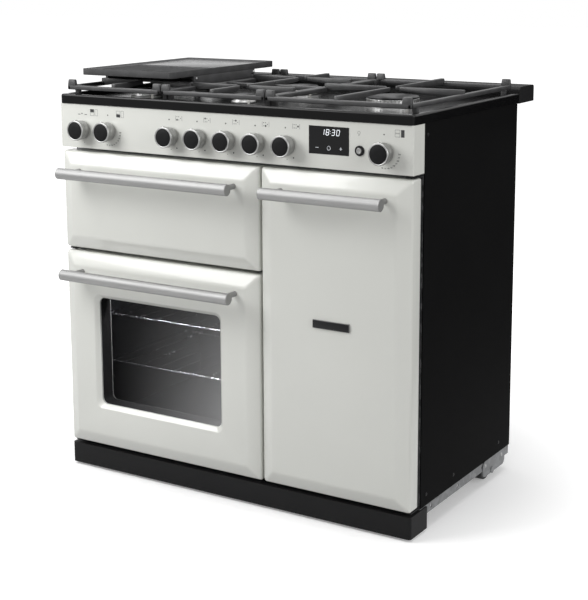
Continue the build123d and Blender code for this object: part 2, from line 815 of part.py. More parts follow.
# Hob tray: a rim round a shallow well, hollow underneath, holed for the burners
with BuildPart() as hob_tray:
    tray_y = (panel_y - trim_overhang, hob_rear_y)
    block((-hob_half, hob_half), tray_y, (panel_top, rim_top))
    fillet(hob_tray.edges().filter_by(Axis.Z).group_by(Axis.Y)[0], trim_corner)
    outer_edges = hob_tray.faces().sort_by(Axis.Z)[-1].edges()
    fillet(outer_edges.sort_by(Axis.Y)[:-1], trim_edge_radius)
    with BuildSketch(Plane.XY.offset(well_floor)):
        with Locations((0, middle(tray_y))):
            well_size = (hob_width - 2 * rim_width, tray_y[1] - tray_y[0] - 2 * rim_width)
            RectangleRounded(well_size[0], well_size[1], well_corner)
    extrude(amount=well_depth, mode=Mode.SUBTRACT)
    block(
        inside((-hob_half, hob_half), trim_corner),
        inside(tray_y, trim_corner),
        (panel_top, well_floor - sheet),
        Mode.SUBTRACT,
    )
    for burner_x, burner_y in burner_place.values():
        hole_radius = burner_neck_radius + touch_gap
        rod_z(hole_radius, (well_floor - sheet, well_floor), burner_x, burner_y, Mode.SUBTRACT)
save(hob_tray, "hob_tray")

# Rear vent trim: a hollow upstand behind the hob with a row of slots along its top
with BuildPart() as rear_vent_trim:
    vent_z = (panel_top - vent_drop, upstand_top)
    block((-hob_half, hob_half), (hob_rear_y, rear_y), vent_z)
    top_edges = rear_vent_trim.edges().filter_by(Axis.X).group_by(Axis.Z)[-1].sort_by(Axis.Y)
    fillet(top_edges[0], vent_front_radius)
    top_rear = rear_vent_trim.edges().filter_by(Axis.X).group_by(Axis.Z)[-1].sort_by(Axis.Y)[-1]
    fillet(top_rear, vent_rear_radius)
    block(
        inside((-hob_half, hob_half), sheet),
        inside((hob_rear_y, rear_y), vent_front_radius),
        (vent_z[0], upstand_top - sheet),
        Mode.SUBTRACT,
    )
    with BuildSketch(Plane.XY.offset(upstand_top - sheet)):
        with Locations((0, middle((hob_rear_y, rear_y)))):
            with GridLocations(vent_slot_pitch, 0, vent_slot_count, 1):
                SlotOverall(vent_slot_length, vent_slot_width)
    extrude(amount=sheet, mode=Mode.SUBTRACT)
save(rear_vent_trim, "rear_vent_trim")

# Burner heads: a ported crown in the well, a neck through the tray and a square cup for the pipe
head_top = well_floor + burner_head_height
with BuildPart() as burner_heads:
    for name, (burner_x, burner_y) in burner_place.items():
        head_radius = burners[name][2]
        crown_z = (well_floor + burner_flange_height, head_top)
        rod_z(head_radius, (well_floor, crown_z[0]), burner_x, burner_y)
        rod_z(head_radius - burner_flange_height, crown_z, burner_x, burner_y)
        with BuildSketch(Plane.XY.offset(crown_z[0])):
            with Locations((burner_x, burner_y)):
                with PolarLocations(head_radius - burner_flange_height, burner_port_count):
                    Rectangle(2 * burner_flange_height, burner_port_width)
        extrude(amount=burner_head_height - burner_flange_height, mode=Mode.SUBTRACT)
        cup_top = well_floor - sheet - burner_cup_drop
        cup_z = (cup_top - burner_cup_height, cup_top)
        rod_z(burner_neck_radius, (cup_top, well_floor), burner_x, burner_y)
        half = burner_cup / 2
        block((burner_x - half, burner_x + half), (burner_y - half, burner_y + half), cup_z)
save(burner_heads, "burner_heads")

# Burner caps: a domed disc on each crown
with BuildPart() as burner_caps:
    for name, (burner_x, burner_y) in burner_place.items():
        cap_radius = burners[name][2] - burner_flange_height
        rod_z(cap_radius, (head_top, head_top + burner_cap_height), burner_x, burner_y)
    fillet(burner_caps.edges().group_by(Axis.Z)[-1], burner_cap_height / 2)
save(burner_caps, "burner_caps")

# Pan supports: a cast frame on feet with fingers to each burner and a lug at each corner
support_y = (panel_y + support_front_depth, panel_y + support_front_depth + support_depth)
rail_z = (rim_top + support_rim_gap, rim_top + support_rim_gap + support_rail_height)
finger_z = (rail_z[1] + finger_lift - finger_height, rail_z[1] + finger_lift)
for column, x_span in support_spans.items():
    centres = [place for name, place in burner_place.items() if burners[name][0] == column]
    bays = [support_y]
    if len(centres) > 1:
        bays = [(support_y[0], pipe_middle_y), (pipe_middle_y, support_y[1])]
    with BuildPart() as pan_support:
        block(x_span, support_y, rail_z)
        bay_x, bay_y = inside(x_span, support_rail_width), inside(support_y, support_rail_width)
        block(bay_x, bay_y, rail_z, Mode.SUBTRACT)
        if len(centres) > 1:
            half = support_rail_width / 2
            block(x_span, (pipe_middle_y - half, pipe_middle_y + half), rail_z)
        for (burner_x, burner_y), bay in zip(sorted(centres, key=lambda place: place[1]), bays):
            half = finger_width / 2
            across, along = (burner_y - half, burner_y + half), (burner_x - half, burner_x + half)
            block((x_span[0], burner_x - finger_end_gap), across, finger_z)
            block((burner_x + finger_end_gap, x_span[1]), across, finger_z)
            block(along, (bay[0], burner_y - finger_end_gap), finger_z)
            block(along, (burner_y + finger_end_gap, bay[1]), finger_z)
            half = finger_block / 2
            block((burner_x - half, burner_x + half), (bay[0], bay[0] + support_rail_width), finger_z)
        half = support_foot / 2
        for leg_x in inside(x_span, half):
            for leg_y in inside(support_y, support_foot_inset):
                block((leg_x - half, leg_x + half), (leg_y - half, leg_y + half), (well_floor, rail_z[1]))
        for lug_x in ((x_span[0], x_span[0] + lug_width), (x_span[1] - lug_width, x_span[1])):
            for lug_y in ((support_y[0], support_y[0] + lug_depth), (support_y[1] - lug_depth, support_y[1])):
                block(lug_x, lug_y, (rail_z[1], rail_z[1] + lug_height))
    save(pan_support, f"{column}_pan_support")

# Griddle: a cast plate with a raised rim, on a skirt at each side that stands on the left pan support
griddle_x = inside(support_spans["left"], griddle_inset)
griddle_middle_y = middle(support_y) + griddle_setback
griddle_y = (griddle_middle_y - griddle_depth / 2, griddle_middle_y + griddle_depth / 2)
griddle_z = (rail_z[1] + griddle_skirt_height, rail_z[1] + griddle_skirt_height + griddle_height)
with BuildPart() as griddle:
    block(griddle_x, griddle_y, griddle_z)
    fillet(griddle.edges().filter_by(Axis.Z), griddle_corner)
    block(
        inside(griddle_x, griddle_rim),
        inside(griddle_y, griddle_rim),
        (griddle_z[1] - griddle_well, griddle_z[1]),
        Mode.SUBTRACT,
    )
    for skirt_x in (griddle_x[0], griddle_x[1] - griddle_skirt):
        skirt = (skirt_x, skirt_x + griddle_skirt)
        block(skirt, inside(griddle_y, griddle_skirt_inset), (rail_z[1], griddle_z[0]))
    half = finger_width / 2 + griddle_notch_gap
    notch_y = (panel_y + burner_rear_depth - half, panel_y + burner_rear_depth + half)
    block(griddle_x, notch_y, (rail_z[1], finger_z[1] + griddle_notch_gap), Mode.SUBTRACT)
save(griddle, "griddle")

# Doors: a pressed shell with a raised, bevelled field, hollow at the back
left_hinge_x = left_door_x[0] + hinge_inset
tall_hinge_x = tall_door_x[1] - hinge_inset


def door_shell(x_span, z_span):
    """Makes the hollow shell of one door or drawer front."""
    centre = (middle(x_span), middle(z_span))
    width, height = x_span[1] - x_span[0], z_span[1] - z_span[0]
    field = (width - 2 * bevel_width, height - 2 * bevel_width)
    with BuildPart() as shell:
        with BuildSketch(facing(door_rear_y)):
            with Locations(centre):
                RectangleRounded(width, height, door_corner)
        extrude(amount=door_edge_depth)
        with BuildSketch(facing(door_edge_y)):
            with Locations(centre):
                RectangleRounded(width, height, door_corner)
        with BuildSketch(facing(field_y)):
            with Locations(centre):
                RectangleRounded(field[0], field[1], field_corner)
        loft(ruled=True)
        with BuildSketch(facing(door_rear_y)):
            with Locations(centre):
                Rectangle(width - 2 * door_wall, height - 2 * door_wall)
        extrude(amount=door_edge_depth - door_wall, mode=Mode.SUBTRACT)
        with BuildSketch(facing(door_edge_y + door_wall)):
            with Locations(centre):
                Rectangle(width - 2 * door_wall, height - 2 * door_wall)
        with BuildSketch(facing(field_y + door_wall)):
            with Locations(centre):
                Rectangle(field[0], field[1])
        loft(ruled=True, mode=Mode.SUBTRACT)
    return shell.part


def hinge_bearings(x_span, z_span, hinge_x):
    """Adds a bored block behind the top and the bottom edge of a door, for its hinge pins."""
    block_x = (max(hinge_x - hinge_block / 2, x_span[0]), min(hinge_x + hinge_block / 2, x_span[1]))
    block_y = (hinge_y - hinge_block / 2, hinge_y + hinge_block / 2)
    for edge_z in ((z_span[0], z_span[0] + hinge_block), (z_span[1] - hinge_block, z_span[1])):
        block(block_x, block_y, edge_z)
        rod_z(hinge_pin_radius + running_gap, edge_z, hinge_x, hinge_y, Mode.SUBTRACT)


window_centre = (
    middle(left_door_x) + window_offset,
    left_door_z[0] + window_bottom_rise + window_height / 2,
)
reveal_y = field_y + reveal_depth
left_shell = door_shell(left_door_x, left_door_z)
with BuildPart() as left_door_panel:
    add(left_shell)
    hinge_bearings(left_door_x, left_door_z, left_hinge_x)
    for grow, mode in ((door_wall, Mode.ADD), (0.0, Mode.SUBTRACT)):
        for plane_y, spread in ((field_y, reveal_width), (reveal_y, 0.0)):
            with BuildSketch(facing(plane_y)):
                with Locations(window_centre):
                    extra = 2 * (grow + spread)
                    RectangleRounded(window_width + extra, window_height + extra, window_corner + extra / 2)
        loft(ruled=True, mode=mode)
save(left_door_panel, "left_door_panel")

tall_shell = door_shell(tall_door_x, tall_door_z)
with BuildPart() as tall_door_panel:
    add(tall_shell)
    hinge_bearings(tall_door_x, tall_door_z, tall_hinge_x)
save(tall_door_panel, "tall_door_panel")

grill_shell = door_shell(left_door_x, grill_front_z)
with BuildPart() as grill_drawer_front:
    add(grill_shell)
save(grill_drawer_front, "grill_drawer_front")

# Door liners: a plate in the back of each shell, with a window in the left one
inner_window = (window_width + glass_lap, window_height + glass_lap)
with BuildPart() as left_door_liner:
    block(inside(left_door_x, door_wall), (liner_y, door_rear_y), inside(left_door_z, door_wall))
    with BuildSketch(facing(door_rear_y)):
        with Locations(window_centre):
            RectangleRounded(inner_window[0], inner_window[1], window_corner)
    extrude(amount=liner_thickness, mode=Mode.SUBTRACT)
save(left_door_liner, "left_door_liner")

with BuildPart() as tall_door_liner:
    block(inside(tall_door_x, door_wall), (liner_y, door_rear_y), inside(tall_door_z, door_wall))
save(tall_door_liner, "tall_door_liner")

# Door glass: an outer pane behind the reveal and an inner pane in front of the liner
with BuildPart() as left_door_glass:
    outer_window = (window_width, window_height)
    for pane_front_y, size in ((reveal_y, outer_window), (liner_y - glass_thickness, inner_window)):
        with BuildSketch(facing(pane_front_y + glass_thickness)):
            with Locations(window_centre):
                RectangleRounded(size[0] + 2 * glass_lap, size[1] + 2 * glass_lap, window_corner)
        extrude(amount=glass_thickness)
save(left_door_glass, "left_door_glass")

# Handles: a round bar on two posts, one for each door and the grill drawer
for name, x_span, z_span in (
    ("left_door_handle", left_door_x, left_door_z),
    ("tall_door_handle", tall_door_x, tall_door_z),
    ("grill_drawer_handle", left_door_x, grill_front_z),
):
    bar_x = inside(x_span, bar_side_margin)
    bar_z = z_span[1] - bar_drop
    with BuildPart() as handle:
        rod_x(bar_radius, bar_x, bar_y, bar_z)
        chamfer(handle.edges().filter_by(GeomType.CIRCLE), bar_chamfer)
        for post_x in inside(bar_x, post_inset):
            rod_y(post_radius, (bar_y, field_y), post_x, bar_z)
    save(handle, name)

# Door hinges: a plate with a pin above and below each door, on the front frame
with BuildPart() as door_hinges:
    for z_span, hinge_x in ((left_door_z, left_hinge_x), (tall_door_z, tall_hinge_x)):
        plate_x = (hinge_x - hinge_plate_width / 2, hinge_x + hinge_plate_width / 2)
        plate_y = (hinge_y - hinge_plate_width / 2, frame_y)
        low = (z_span[0] - hinge_plate_gap - hinge_plate_thickness, z_span[0] - hinge_plate_gap)
        high = (z_span[1] + hinge_plate_gap, z_span[1] + hinge_plate_gap + hinge_plate_thickness)
        block(plate_x, plate_y, low)
        rod_z(hinge_pin_radius, (low[1], low[1] + hinge_pin_length), hinge_x, hinge_y)
        block(plate_x, plate_y, high)
        rod_z(hinge_pin_radius, (high[0] - hinge_pin_length, high[0]), hinge_x, hinge_y)
save(door_hinges, "door_hinges")

# Grill rails: an angle on each side wall of the grill, under and beside the runner
runner_z = (grill_cavity_z[0] + runner_rise, grill_cavity_z[0] + runner_rise + runner_height)
rail_y = inside((cavity_y, cavity_rear_y), rib_end_gap)
with BuildPart() as grill_rails:
    for wall_x, inward in ((left_cavity_x[0], 1), (left_cavity_x[1], -1)):
        web_x = sorted((wall_x, wall_x + inward * rail_wall))
        lip_x = sorted((wall_x, wall_x + inward * (rail_wall + runner_width)))
        lip_top = runner_z[0] - touch_gap
        block(web_x, rail_y, (lip_top - rail_lip, runner_z[1]))
        block(lip_x, rail_y, (lip_top - rail_lip, lip_top))
save(grill_rails, "grill_rails")

# Grill carriage: the back plate of the drawer front with a runner on each side
with BuildPart() as grill_carriage:
    block(inside(left_door_x, door_wall), (liner_y, door_rear_y), inside(grill_front_z, door_wall))
    runner_outer_x = inside(left_cavity_x, rail_wall + touch_gap)
    runner_inner_x = inside(runner_outer_x, runner_width)
    runner_y = (door_rear_y, door_rear_y + runner_length)
    for runner_x in ((runner_outer_x[0], runner_inner_x[0]), (runner_inner_x[1], runner_outer_x[1])):
        block(runner_x, runner_y, runner_z)
save(grill_carriage, "grill_carriage")

# Grill pan: an enamelled tray hung by its lip on the two runners
with BuildPart() as grill_pan:
    tray_x = inside(runner_inner_x, pan_side_gap)
    pan_y = (door_rear_y + pan_front_gap, door_rear_y + pan_front_gap + pan_length)
    lip_z = (runner_z[1], runner_z[1] + pan_wall)
    block(runner_outer_x, pan_y, lip_z)
    block(tray_x, inside(pan_y, pan_side_gap), (lip_z[1] - pan_depth, lip_z[1]))
    block(
        inside(tray_x, pan_wall),
        inside(pan_y, pan_side_gap + pan_wall),
        (lip_z[1] - pan_depth + pan_wall, lip_z[1]),
        Mode.SUBTRACT,
    )
save(grill_pan, "grill_pan")
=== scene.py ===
"""Studio scene of a dual fuel range cooker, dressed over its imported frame."""
import logging
from collections.abc import Callable, Iterable, Iterator, Sequence
from contextlib import contextmanager
from dataclasses import dataclass, field
from enum import Enum
from math import cos, pi, radians, sin

import bmesh
import bpy
from mathutils import Matrix, Vector


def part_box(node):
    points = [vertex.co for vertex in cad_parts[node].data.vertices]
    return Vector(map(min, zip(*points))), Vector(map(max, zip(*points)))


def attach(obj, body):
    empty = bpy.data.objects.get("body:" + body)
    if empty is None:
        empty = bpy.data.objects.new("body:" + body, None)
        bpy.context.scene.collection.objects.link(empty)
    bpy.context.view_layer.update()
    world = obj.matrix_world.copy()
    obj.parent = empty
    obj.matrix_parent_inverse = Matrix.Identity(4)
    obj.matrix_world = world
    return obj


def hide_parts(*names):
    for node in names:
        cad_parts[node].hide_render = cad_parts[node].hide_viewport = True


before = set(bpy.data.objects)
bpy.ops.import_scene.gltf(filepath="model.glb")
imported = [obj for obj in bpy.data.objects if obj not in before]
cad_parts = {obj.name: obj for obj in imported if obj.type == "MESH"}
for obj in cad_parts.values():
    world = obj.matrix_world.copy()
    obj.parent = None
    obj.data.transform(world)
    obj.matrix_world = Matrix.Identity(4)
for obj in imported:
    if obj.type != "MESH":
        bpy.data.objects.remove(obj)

logging.basicConfig(level=logging.INFO, format="%(message)s")
log = logging.getLogger("range_cooker")

Piece = bpy.types.Object
Size = tuple[float, float]
Point = tuple[float, float, float]
Colour = tuple[float, float, float]
Rings = Sequence[tuple[float, float]]

MM = 0.001
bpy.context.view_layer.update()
BODY = "cooker_body"
ORIGIN: Point = (0.0, 0.0, 0.0)
FORWARD: Point = (0.0, -1.0, 0.0)
BACKWARD: Point = (0.0, 1.0, 0.0)
UPWARD: Point = (0.0, 0.0, 1.0)
DOWNWARD: Point = (0.0, 0.0, -1.0)
# The least cosine between a face or an edge and an axis that it follows
FACING = 0.9
# How far the panes of the oven door reach past the window on each side
WINDOW_RIM = 27 * MM


class Wire:
    """A shader socket that takes part in Python arithmetic."""

    def __init__(self, desk: "ShaderDesk", socket: bpy.types.NodeSocket) -> None:
        """Keeps the socket and the desk that its node stands on."""
        self.desk = desk
        self.socket = socket

    def _math(self, operation: str, first: "Wire | float", second: "Wire | float") -> "Wire":
        """Adds one Math node."""
        return self.desk.node("ShaderNodeMath", {"operation": operation}, {0: first, 1: second})

    def __add__(self, other: "Wire | float") -> "Wire":
        """Sum."""
        return self._math("ADD", self, other)

    def __radd__(self, other: float) -> "Wire":
        """Reflected sum."""
        return self._math("ADD", other, self)

    def __sub__(self, other: "Wire | float") -> "Wire":
        """Difference."""
        return self._math("SUBTRACT", self, other)

    def __rsub__(self, other: float) -> "Wire":
        """Reflected difference."""
        return self._math("SUBTRACT", other, self)

    def __mul__(self, other: "Wire | float") -> "Wire":
        """Product."""
        return self._math("MULTIPLY", self, other)

    def __rmul__(self, other: float) -> "Wire":
        """Reflected product."""
        return self._math("MULTIPLY", other, self)

    def __truediv__(self, other: "Wire | float") -> "Wire":
        """Quotient."""
        return self._math("DIVIDE", self, other)

    def __rtruediv__(self, other: float) -> "Wire":
        """Reflected quotient."""
        return self._math("DIVIDE", other, self)

    def __gt__(self, other: "Wire | float") -> "Wire":
        """One where this value is the greater, else zero."""
        return self._math("GREATER_THAN", self, other)

    def clamp(self) -> "Wire":
        """Limits the value to the range from zero to one."""
        return self.desk.node("ShaderNodeClamp", {}, {"Value": self})


class ShaderDesk:
    """The node tree of one material or world, with the few steps that every finish takes."""

    def __init__(self, owner: bpy.types.Material | bpy.types.World) -> None:
        """Opens a tree, which holds its output and its first shader.

        Args:
            owner: The material or world.
        """
        owner.use_nodes = True
        self.tree = owner.node_tree
        world = isinstance(owner, bpy.types.World)
        self.shader = self.tree.nodes["Background" if world else "Principled BSDF"]
        self.output = self.tree.nodes["World Output" if world else "Material Output"]
        self._place: Wire | None = None

    def node(self, kind: str, settings: dict, inputs: dict, output: int | str = 0) -> Wire:
        """Adds a node.

        Args:
            kind: The node's type name.
            settings: Attributes to set first; "stops" holds the stops of a ramp.
            inputs: Values or wires for the sockets, by name or number.
            output: The output socket, by name or number.

        Returns:
            The chosen output.
        """
        made = self.tree.nodes.new(kind)
        for key, value in settings.items():
            if key == "stops":
                elements = made.color_ramp.elements
                while len(elements) < len(value):
                    elements.new(0.5)
                for element, (place, tone) in zip(elements, value):
                    element.position = place
                    element.color = (tone, tone, tone, 1.0) if isinstance(tone, float) else (*tone, 1.0)
            else:
                setattr(made, key, value)
        for key, value in inputs.items():
            self._feed(made.inputs[key], value)
        return Wire(self, made.outputs[output])

    def _feed(self, socket: bpy.types.NodeSocket, value: object) -> None:
        """Links a wire to a socket, or sets a constant on it.

        Args:
            socket: The socket to feed.
            value: A wire, a number, a colour or a vector.
        """
        if isinstance(value, Wire):
            self.tree.links.new(value.socket, socket)
        elif socket.type == "RGBA" and len(value) == 3:
            socket.default_value = (*value, 1.0)
        else:
            socket.default_value = value

    def place(self, stretch: Point = (1.0, 1.0, 1.0)) -> Wire:
        """Gives the piece's own coordinates in metres.

        Args:
            stretch: The scale along each axis.

        Returns:
            The coordinates.
        """
        if self._place is None:
            self._place = self.node("ShaderNodeTexCoord", {}, {}, "Object")
        if stretch == (1.0, 1.0, 1.0):
            return self._place
        return self.node("ShaderNodeMapping", {}, {"Vector": self._place, "Scale": stretch})

    def axis(self, name: str) -> Wire:
        """Gives one of the piece's own coordinates, by its letter."""
        return self.node("ShaderNodeSeparateXYZ", {}, {"Vector": self.place()}, name)

    def ray(self, kind: str) -> Wire:
        """Gives one for light paths of a kind, such as Camera or Glossy, else zero."""
        return self.node("ShaderNodeLightPath", {}, {}, f"Is {kind} Ray")

    def noise(self, scale: float, detail: float = 3.0, stretch: Point = (1.0, 1.0, 1.0)) -> Wire:
        """Adds a soft noise over the piece's own coordinates."""
        inputs = {"Vector": self.place(stretch), "Scale": scale, "Detail": detail}
        return self.node("ShaderNodeTexNoise", {}, inputs)

    def cells(self, scale: float, output: str = "Distance") -> Wire:
        """Adds a cell pattern over the piece's own coordinates."""
        return self.node("ShaderNodeTexVoronoi", {}, {"Vector": self.place(), "Scale": scale}, output)

    def ramp(self, value: Wire, stops: Sequence[tuple[float, object]]) -> Wire:
        """Maps a value through a colour ramp."""
        return self.node("ShaderNodeValToRGB", {"stops": stops}, {"Fac": value})

    def blend(self, share: Wire, first: object, second: object) -> Wire:
        """Mixes two colours by a share from zero to one."""
        return self.node("ShaderNodeMix", {"data_type": "RGBA"}, {0: share, 6: first, 7: second}, 2)

    def bump(self, height: Wire, depth: float, strength: float) -> Wire:
        """Adds a bump with a depth in metres."""
        return self.node("ShaderNodeBump", {}, {"Height": height, "Distance": depth, "Strength": strength})

    def surface(self, **inputs: object) -> Wire:
        """Feeds the first shader.

        Args:
            inputs: Values or wires by socket name, with underscores for its spaces.

        Returns:
            The shader's output.
        """
        for key, value in inputs.items():
            self._feed(self.shader.inputs[key.replace("_", " ")], value)
        return Wire(self, self.shader.outputs[0])

    def show(self, shader: Wire) -> None:
        """Links another shader to the output."""
        self.tree.links.new(shader.socket, self.output.inputs["Surface"])


@dataclass(frozen=True)
class Finish:
    """One finish of the cooker, made into a material once."""

    name: str
    colour: Colour
    roughness: float

    def paint(self, desk: ShaderDesk) -> None:
        """Lays the finish out as nodes."""
        raise NotImplementedError

    def material(self) -> bpy.types.Material:
        """Gives the finish's material, made on first use."""
        label = f"{self.name}_finish"
        found = bpy.data.materials.get(label)
        if found is None:
            found = bpy.data.materials.new(label)
            self.paint(ShaderDesk(found))
        return found

    def shade(self, factor: float) -> Colour:
        """Gives the colour, lightened or darkened."""
        return tuple(min(1.0, c * factor) for c in self.colour)


@dataclass(frozen=True)
class Enamel(Finish):
    """Fired enamel: a hard glossy coat with a fine ripple and a faint cloud in its tone."""

    ripple: float = 0.00002
    cloud: float = 0.03
    coat: float = 0.4
    gloss: float = 0.5

    def paint(self, desk: ShaderDesk) -> None:
        """Lays the finish out as nodes.

        Args:
            desk: The material's node tree.
        """
        cloud = desk.noise(6.0, 4.0)
        tone = desk.blend(cloud, self.shade(1.0 - self.cloud), self.shade(1.0 + self.cloud))
        ripple = desk.noise(420.0, 2.0)
        desk.surface(
            Base_Color=tone,
            Roughness=(desk.noise(35.0) - 0.5) * 0.08 + self.roughness,
            Normal=desk.bump(ripple, self.ripple, 0.6),
            Specular_IOR_Level=self.gloss,
            Coat_Weight=self.coat,
            Coat_Roughness=0.06,
        )


@dataclass(frozen=True)
class SpeckledEnamel(Finish):
    """Dark oven enamel with pale flecks."""

    fleck: Colour = (0.12, 0.12, 0.13)

    def paint(self, desk: ShaderDesk) -> None:
        """Lays the finish out as nodes.

        Args:
            desk: The material's node tree.
        """
        size = desk.noise(60.0)
        flecks = (0.16 - desk.cells(480.0) + (size - 0.5) * 0.2) > 0.0
        tone = desk.blend(flecks, self.colour, self.fleck)
        desk.surface(
            Base_Color=tone,
            Roughness=desk.noise(40.0) * 0.12 + self.roughness,
            Normal=desk.bump(desk.noise(300.0), 0.00004, 0.5),
        )


@dataclass(frozen=True)
class PowderCoat(Finish):
    """Satin powder coat: a fine even grain."""

    grain: float = 0.00006
    gloss: float = 0.2

    def paint(self, desk: ShaderDesk) -> None:
        """Lays the finish out as nodes.

        Args:
            desk: The material's node tree.
        """
        grain = desk.noise(900.0, 2.0)
        tone = desk.blend(desk.noise(9.0), self.shade(0.85), self.shade(1.15))
        desk.surface(
            Base_Color=tone,
            Roughness=(grain - 0.5) * 0.2 + self.roughness,
            Normal=desk.bump(grain, self.grain, 0.7),
            Specular_IOR_Level=self.gloss,
        )


class Grain(Enum):
    """The direction of the brushing on a metal, as the stretch of its noise."""

    ALONG_X = (0.02, 1.0, 1.0)
    ALONG_Y = (1.0, 0.02, 1.0)
    NONE = (1.0, 1.0, 1.0)


@dataclass(frozen=True)
class Metal(Finish):
    """Bare metal, brushed along one direction or evenly polished."""

    grain: Grain = Grain.NONE
    brushing: float = 0.18
    scale: float = 900.0

    def paint(self, desk: ShaderDesk) -> None:
        """Lays the finish out as nodes.

        Args:
            desk: The material's node tree.
        """
        lines = desk.noise(self.scale, 4.0, self.grain.value)
        smear = desk.noise(14.0, 3.0)
        tone = desk.blend(lines, self.shade(0.82), self.shade(1.12))
        desk.surface(
            Base_Color=tone,
            Metallic=1.0,
            Roughness=((lines - 0.5) * self.brushing + (smear - 0.5) * 0.08 + self.roughness).clamp(),
            Normal=desk.bump(lines, 0.00002, 0.5),
        )


@dataclass(frozen=True)
class Galvanised(Finish):
    """Zinc-coated sheet with its spangle of crystals."""

    def paint(self, desk: ShaderDesk) -> None:
        """Lays the finish out as nodes.

        Args:
            desk: The material's node tree.
        """
        crystal = desk.cells(90.0, "Color")
        value = desk.node("ShaderNodeSeparateColor", {}, {"Color": crystal}, 0)
        tone = desk.blend(value, self.shade(0.75), self.shade(1.2))
        desk.surface(
            Base_Color=tone,
            Metallic=0.85,
            Roughness=value * 0.22 + self.roughness,
            Normal=desk.bump(desk.noise(200.0), 0.00004, 0.4),
        )


@dataclass(frozen=True)
class CastIron(Finish):
    """Sand-cast iron under a matt coat: grainy, with pale rubbed spots."""

    pitting: float = 0.00035

    def paint(self, desk: ShaderDesk) -> None:
        """Lays the finish out as nodes.

        Args:
            desk: The material's node tree.
        """
        grain = desk.noise(650.0, 5.0)
        rubbed = desk.ramp(desk.noise(38.0, 5.0), [(0.45, 0.0), (0.75, 1.0)])
        tone = desk.blend(rubbed, self.colour, self.shade(1.7))
        desk.surface(
            Base_Color=tone,
            Roughness=(grain - 0.5) * 0.25 + self.roughness,
            Normal=desk.bump(grain, self.pitting, 0.55),
        )


@dataclass(frozen=True)
class Polymer(Finish):
    """Moulded plastic or rubber with a spark-eroded grain."""

    grain: float = 0.00005
    scale: float = 1400.0

    def paint(self, desk: ShaderDesk) -> None:
        """Lays the finish out as nodes.

        Args:
            desk: The material's node tree.
        """
        grain = desk.noise(self.scale, 2.0)
        tone = desk.blend(grain, self.shade(0.9), self.shade(1.15))
        desk.surface(
            Base_Color=tone,
            Roughness=(grain - 0.5) * 0.15 + self.roughness,
            Normal=desk.bump(grain, self.grain, 0.5),
        )


@dataclass(frozen=True)
class BlackGlass(Finish):
    """Black glass with faint smears."""

    gloss: float = 0.5

    def paint(self, desk: ShaderDesk) -> None:
        """Lays the finish out as nodes.

        Args:
            desk: The material's node tree.
        """
        smear = desk.noise(7.0, 4.0)
        desk.surface(
            Base_Color=desk.blend(smear, self.shade(0.9), self.shade(1.1)),
            Roughness=smear * 0.03 + self.roughness,
            IOR=1.52,
            Specular_IOR_Level=self.gloss,
        )


@dataclass(frozen=True)
class CoatedGlass(Finish):
    """Tinted oven glass with a mirror coat on the outer face of its outer pane."""

    coat: float = 0.15
    face_y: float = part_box("left_door_glass")[0][1] + 1 * MM

    def paint(self, desk: ShaderDesk) -> None:
        """Lays the finish out as nodes.

        Args:
            desk: The material's node tree.
        """
        smear = desk.noise(7.0, 4.0)
        share = (self.face_y - desk.axis("Y") > 0.0) * (smear * 0.04 + self.coat)
        clear = desk.node("ShaderNodeBsdfTransparent", {}, {"Color": self.colour})
        mirror = desk.surface(Base_Color=(0.95, 0.95, 0.96), Metallic=1.0, Roughness=self.roughness)
        desk.show(desk.node("ShaderNodeMixShader", {}, {0: share, 1: clear, 2: mirror}))


@dataclass(frozen=True)
class Ink(Finish):
    """Printed marks, a little uneven in their cover."""

    def paint(self, desk: ShaderDesk) -> None:
        """Lays the finish out as nodes.

        Args:
            desk: The material's node tree.
        """
        cover = desk.noise(700.0, 2.0)
        desk.surface(
            Base_Color=desk.blend(cover, self.shade(0.8), self.shade(1.3)),
            Roughness=cover * 0.1 + self.roughness,
        )


@dataclass(frozen=True)
class Lamp(Finish):
    """A lit segment of the display."""

    strength: float = 1.4

    def paint(self, desk: ShaderDesk) -> None:
        """Lays the finish out as nodes.

        Args:
            desk: The material's node tree.
        """
        glow = desk.noise(500.0, 1.0)
        desk.surface(
            Base_Color=self.colour,
            Roughness=self.roughness,
            Emission_Color=desk.blend(glow, self.shade(0.92), self.shade(1.05)),
            Emission_Strength=self.strength,
        )


@dataclass(frozen=True)
class HotSheath(Finish):
    """The oxidised steel sheath of a heating element, straw to blue-grey."""

    def paint(self, desk: ShaderDesk) -> None:
        """Lays the finish out as nodes.

        Args:
            desk: The material's node tree.
        """
        heat = desk.noise(12.0, 3.0)
        tone = desk.ramp(heat, [(0.3, self.colour), (0.55, (0.2, 0.15, 0.09)), (0.75, (0.1, 0.11, 0.15))])
        desk.surface(Base_Color=tone, Metallic=0.8, Roughness=heat * 0.2 + self.roughness)


CREAM = Enamel("cream_enamel", (0.735, 0.742, 0.70), 0.22)
HOB_BLACK = Enamel("hob_black_enamel", (0.005, 0.005, 0.0053), 0.16, cloud=0.1, coat=0.0, gloss=0.22)
SATIN_BLACK = PowderCoat("satin_black_coat", (0.005, 0.005, 0.0052), 0.55, gloss=0.02)
TRIM_BLACK = PowderCoat("trim_black_coat", (0.014, 0.014, 0.0145), 0.45, gloss=0.1)
OVEN_ENAMEL = SpeckledEnamel("oven_enamel", (0.018, 0.018, 0.02), 0.35)
ZINC = Galvanised("galvanised_sheet", (0.27, 0.275, 0.28), 0.34)
BAR_STEEL = Metal("handle_steel", (0.3, 0.3, 0.298), 0.56, Grain.ALONG_X, 0.14)
PART_STEEL = Metal("plain_steel", (0.5, 0.5, 0.5), 0.34, Grain.ALONG_Y)
POLISHED = Metal("polished_metal", (0.72, 0.72, 0.72), 0.12, Grain.NONE, 0.06, 300.0)
KNOB_METAL = Metal("knob_metal", (0.36, 0.36, 0.355), 0.36, Grain.ALONG_Y, 0.06, 2600.0)
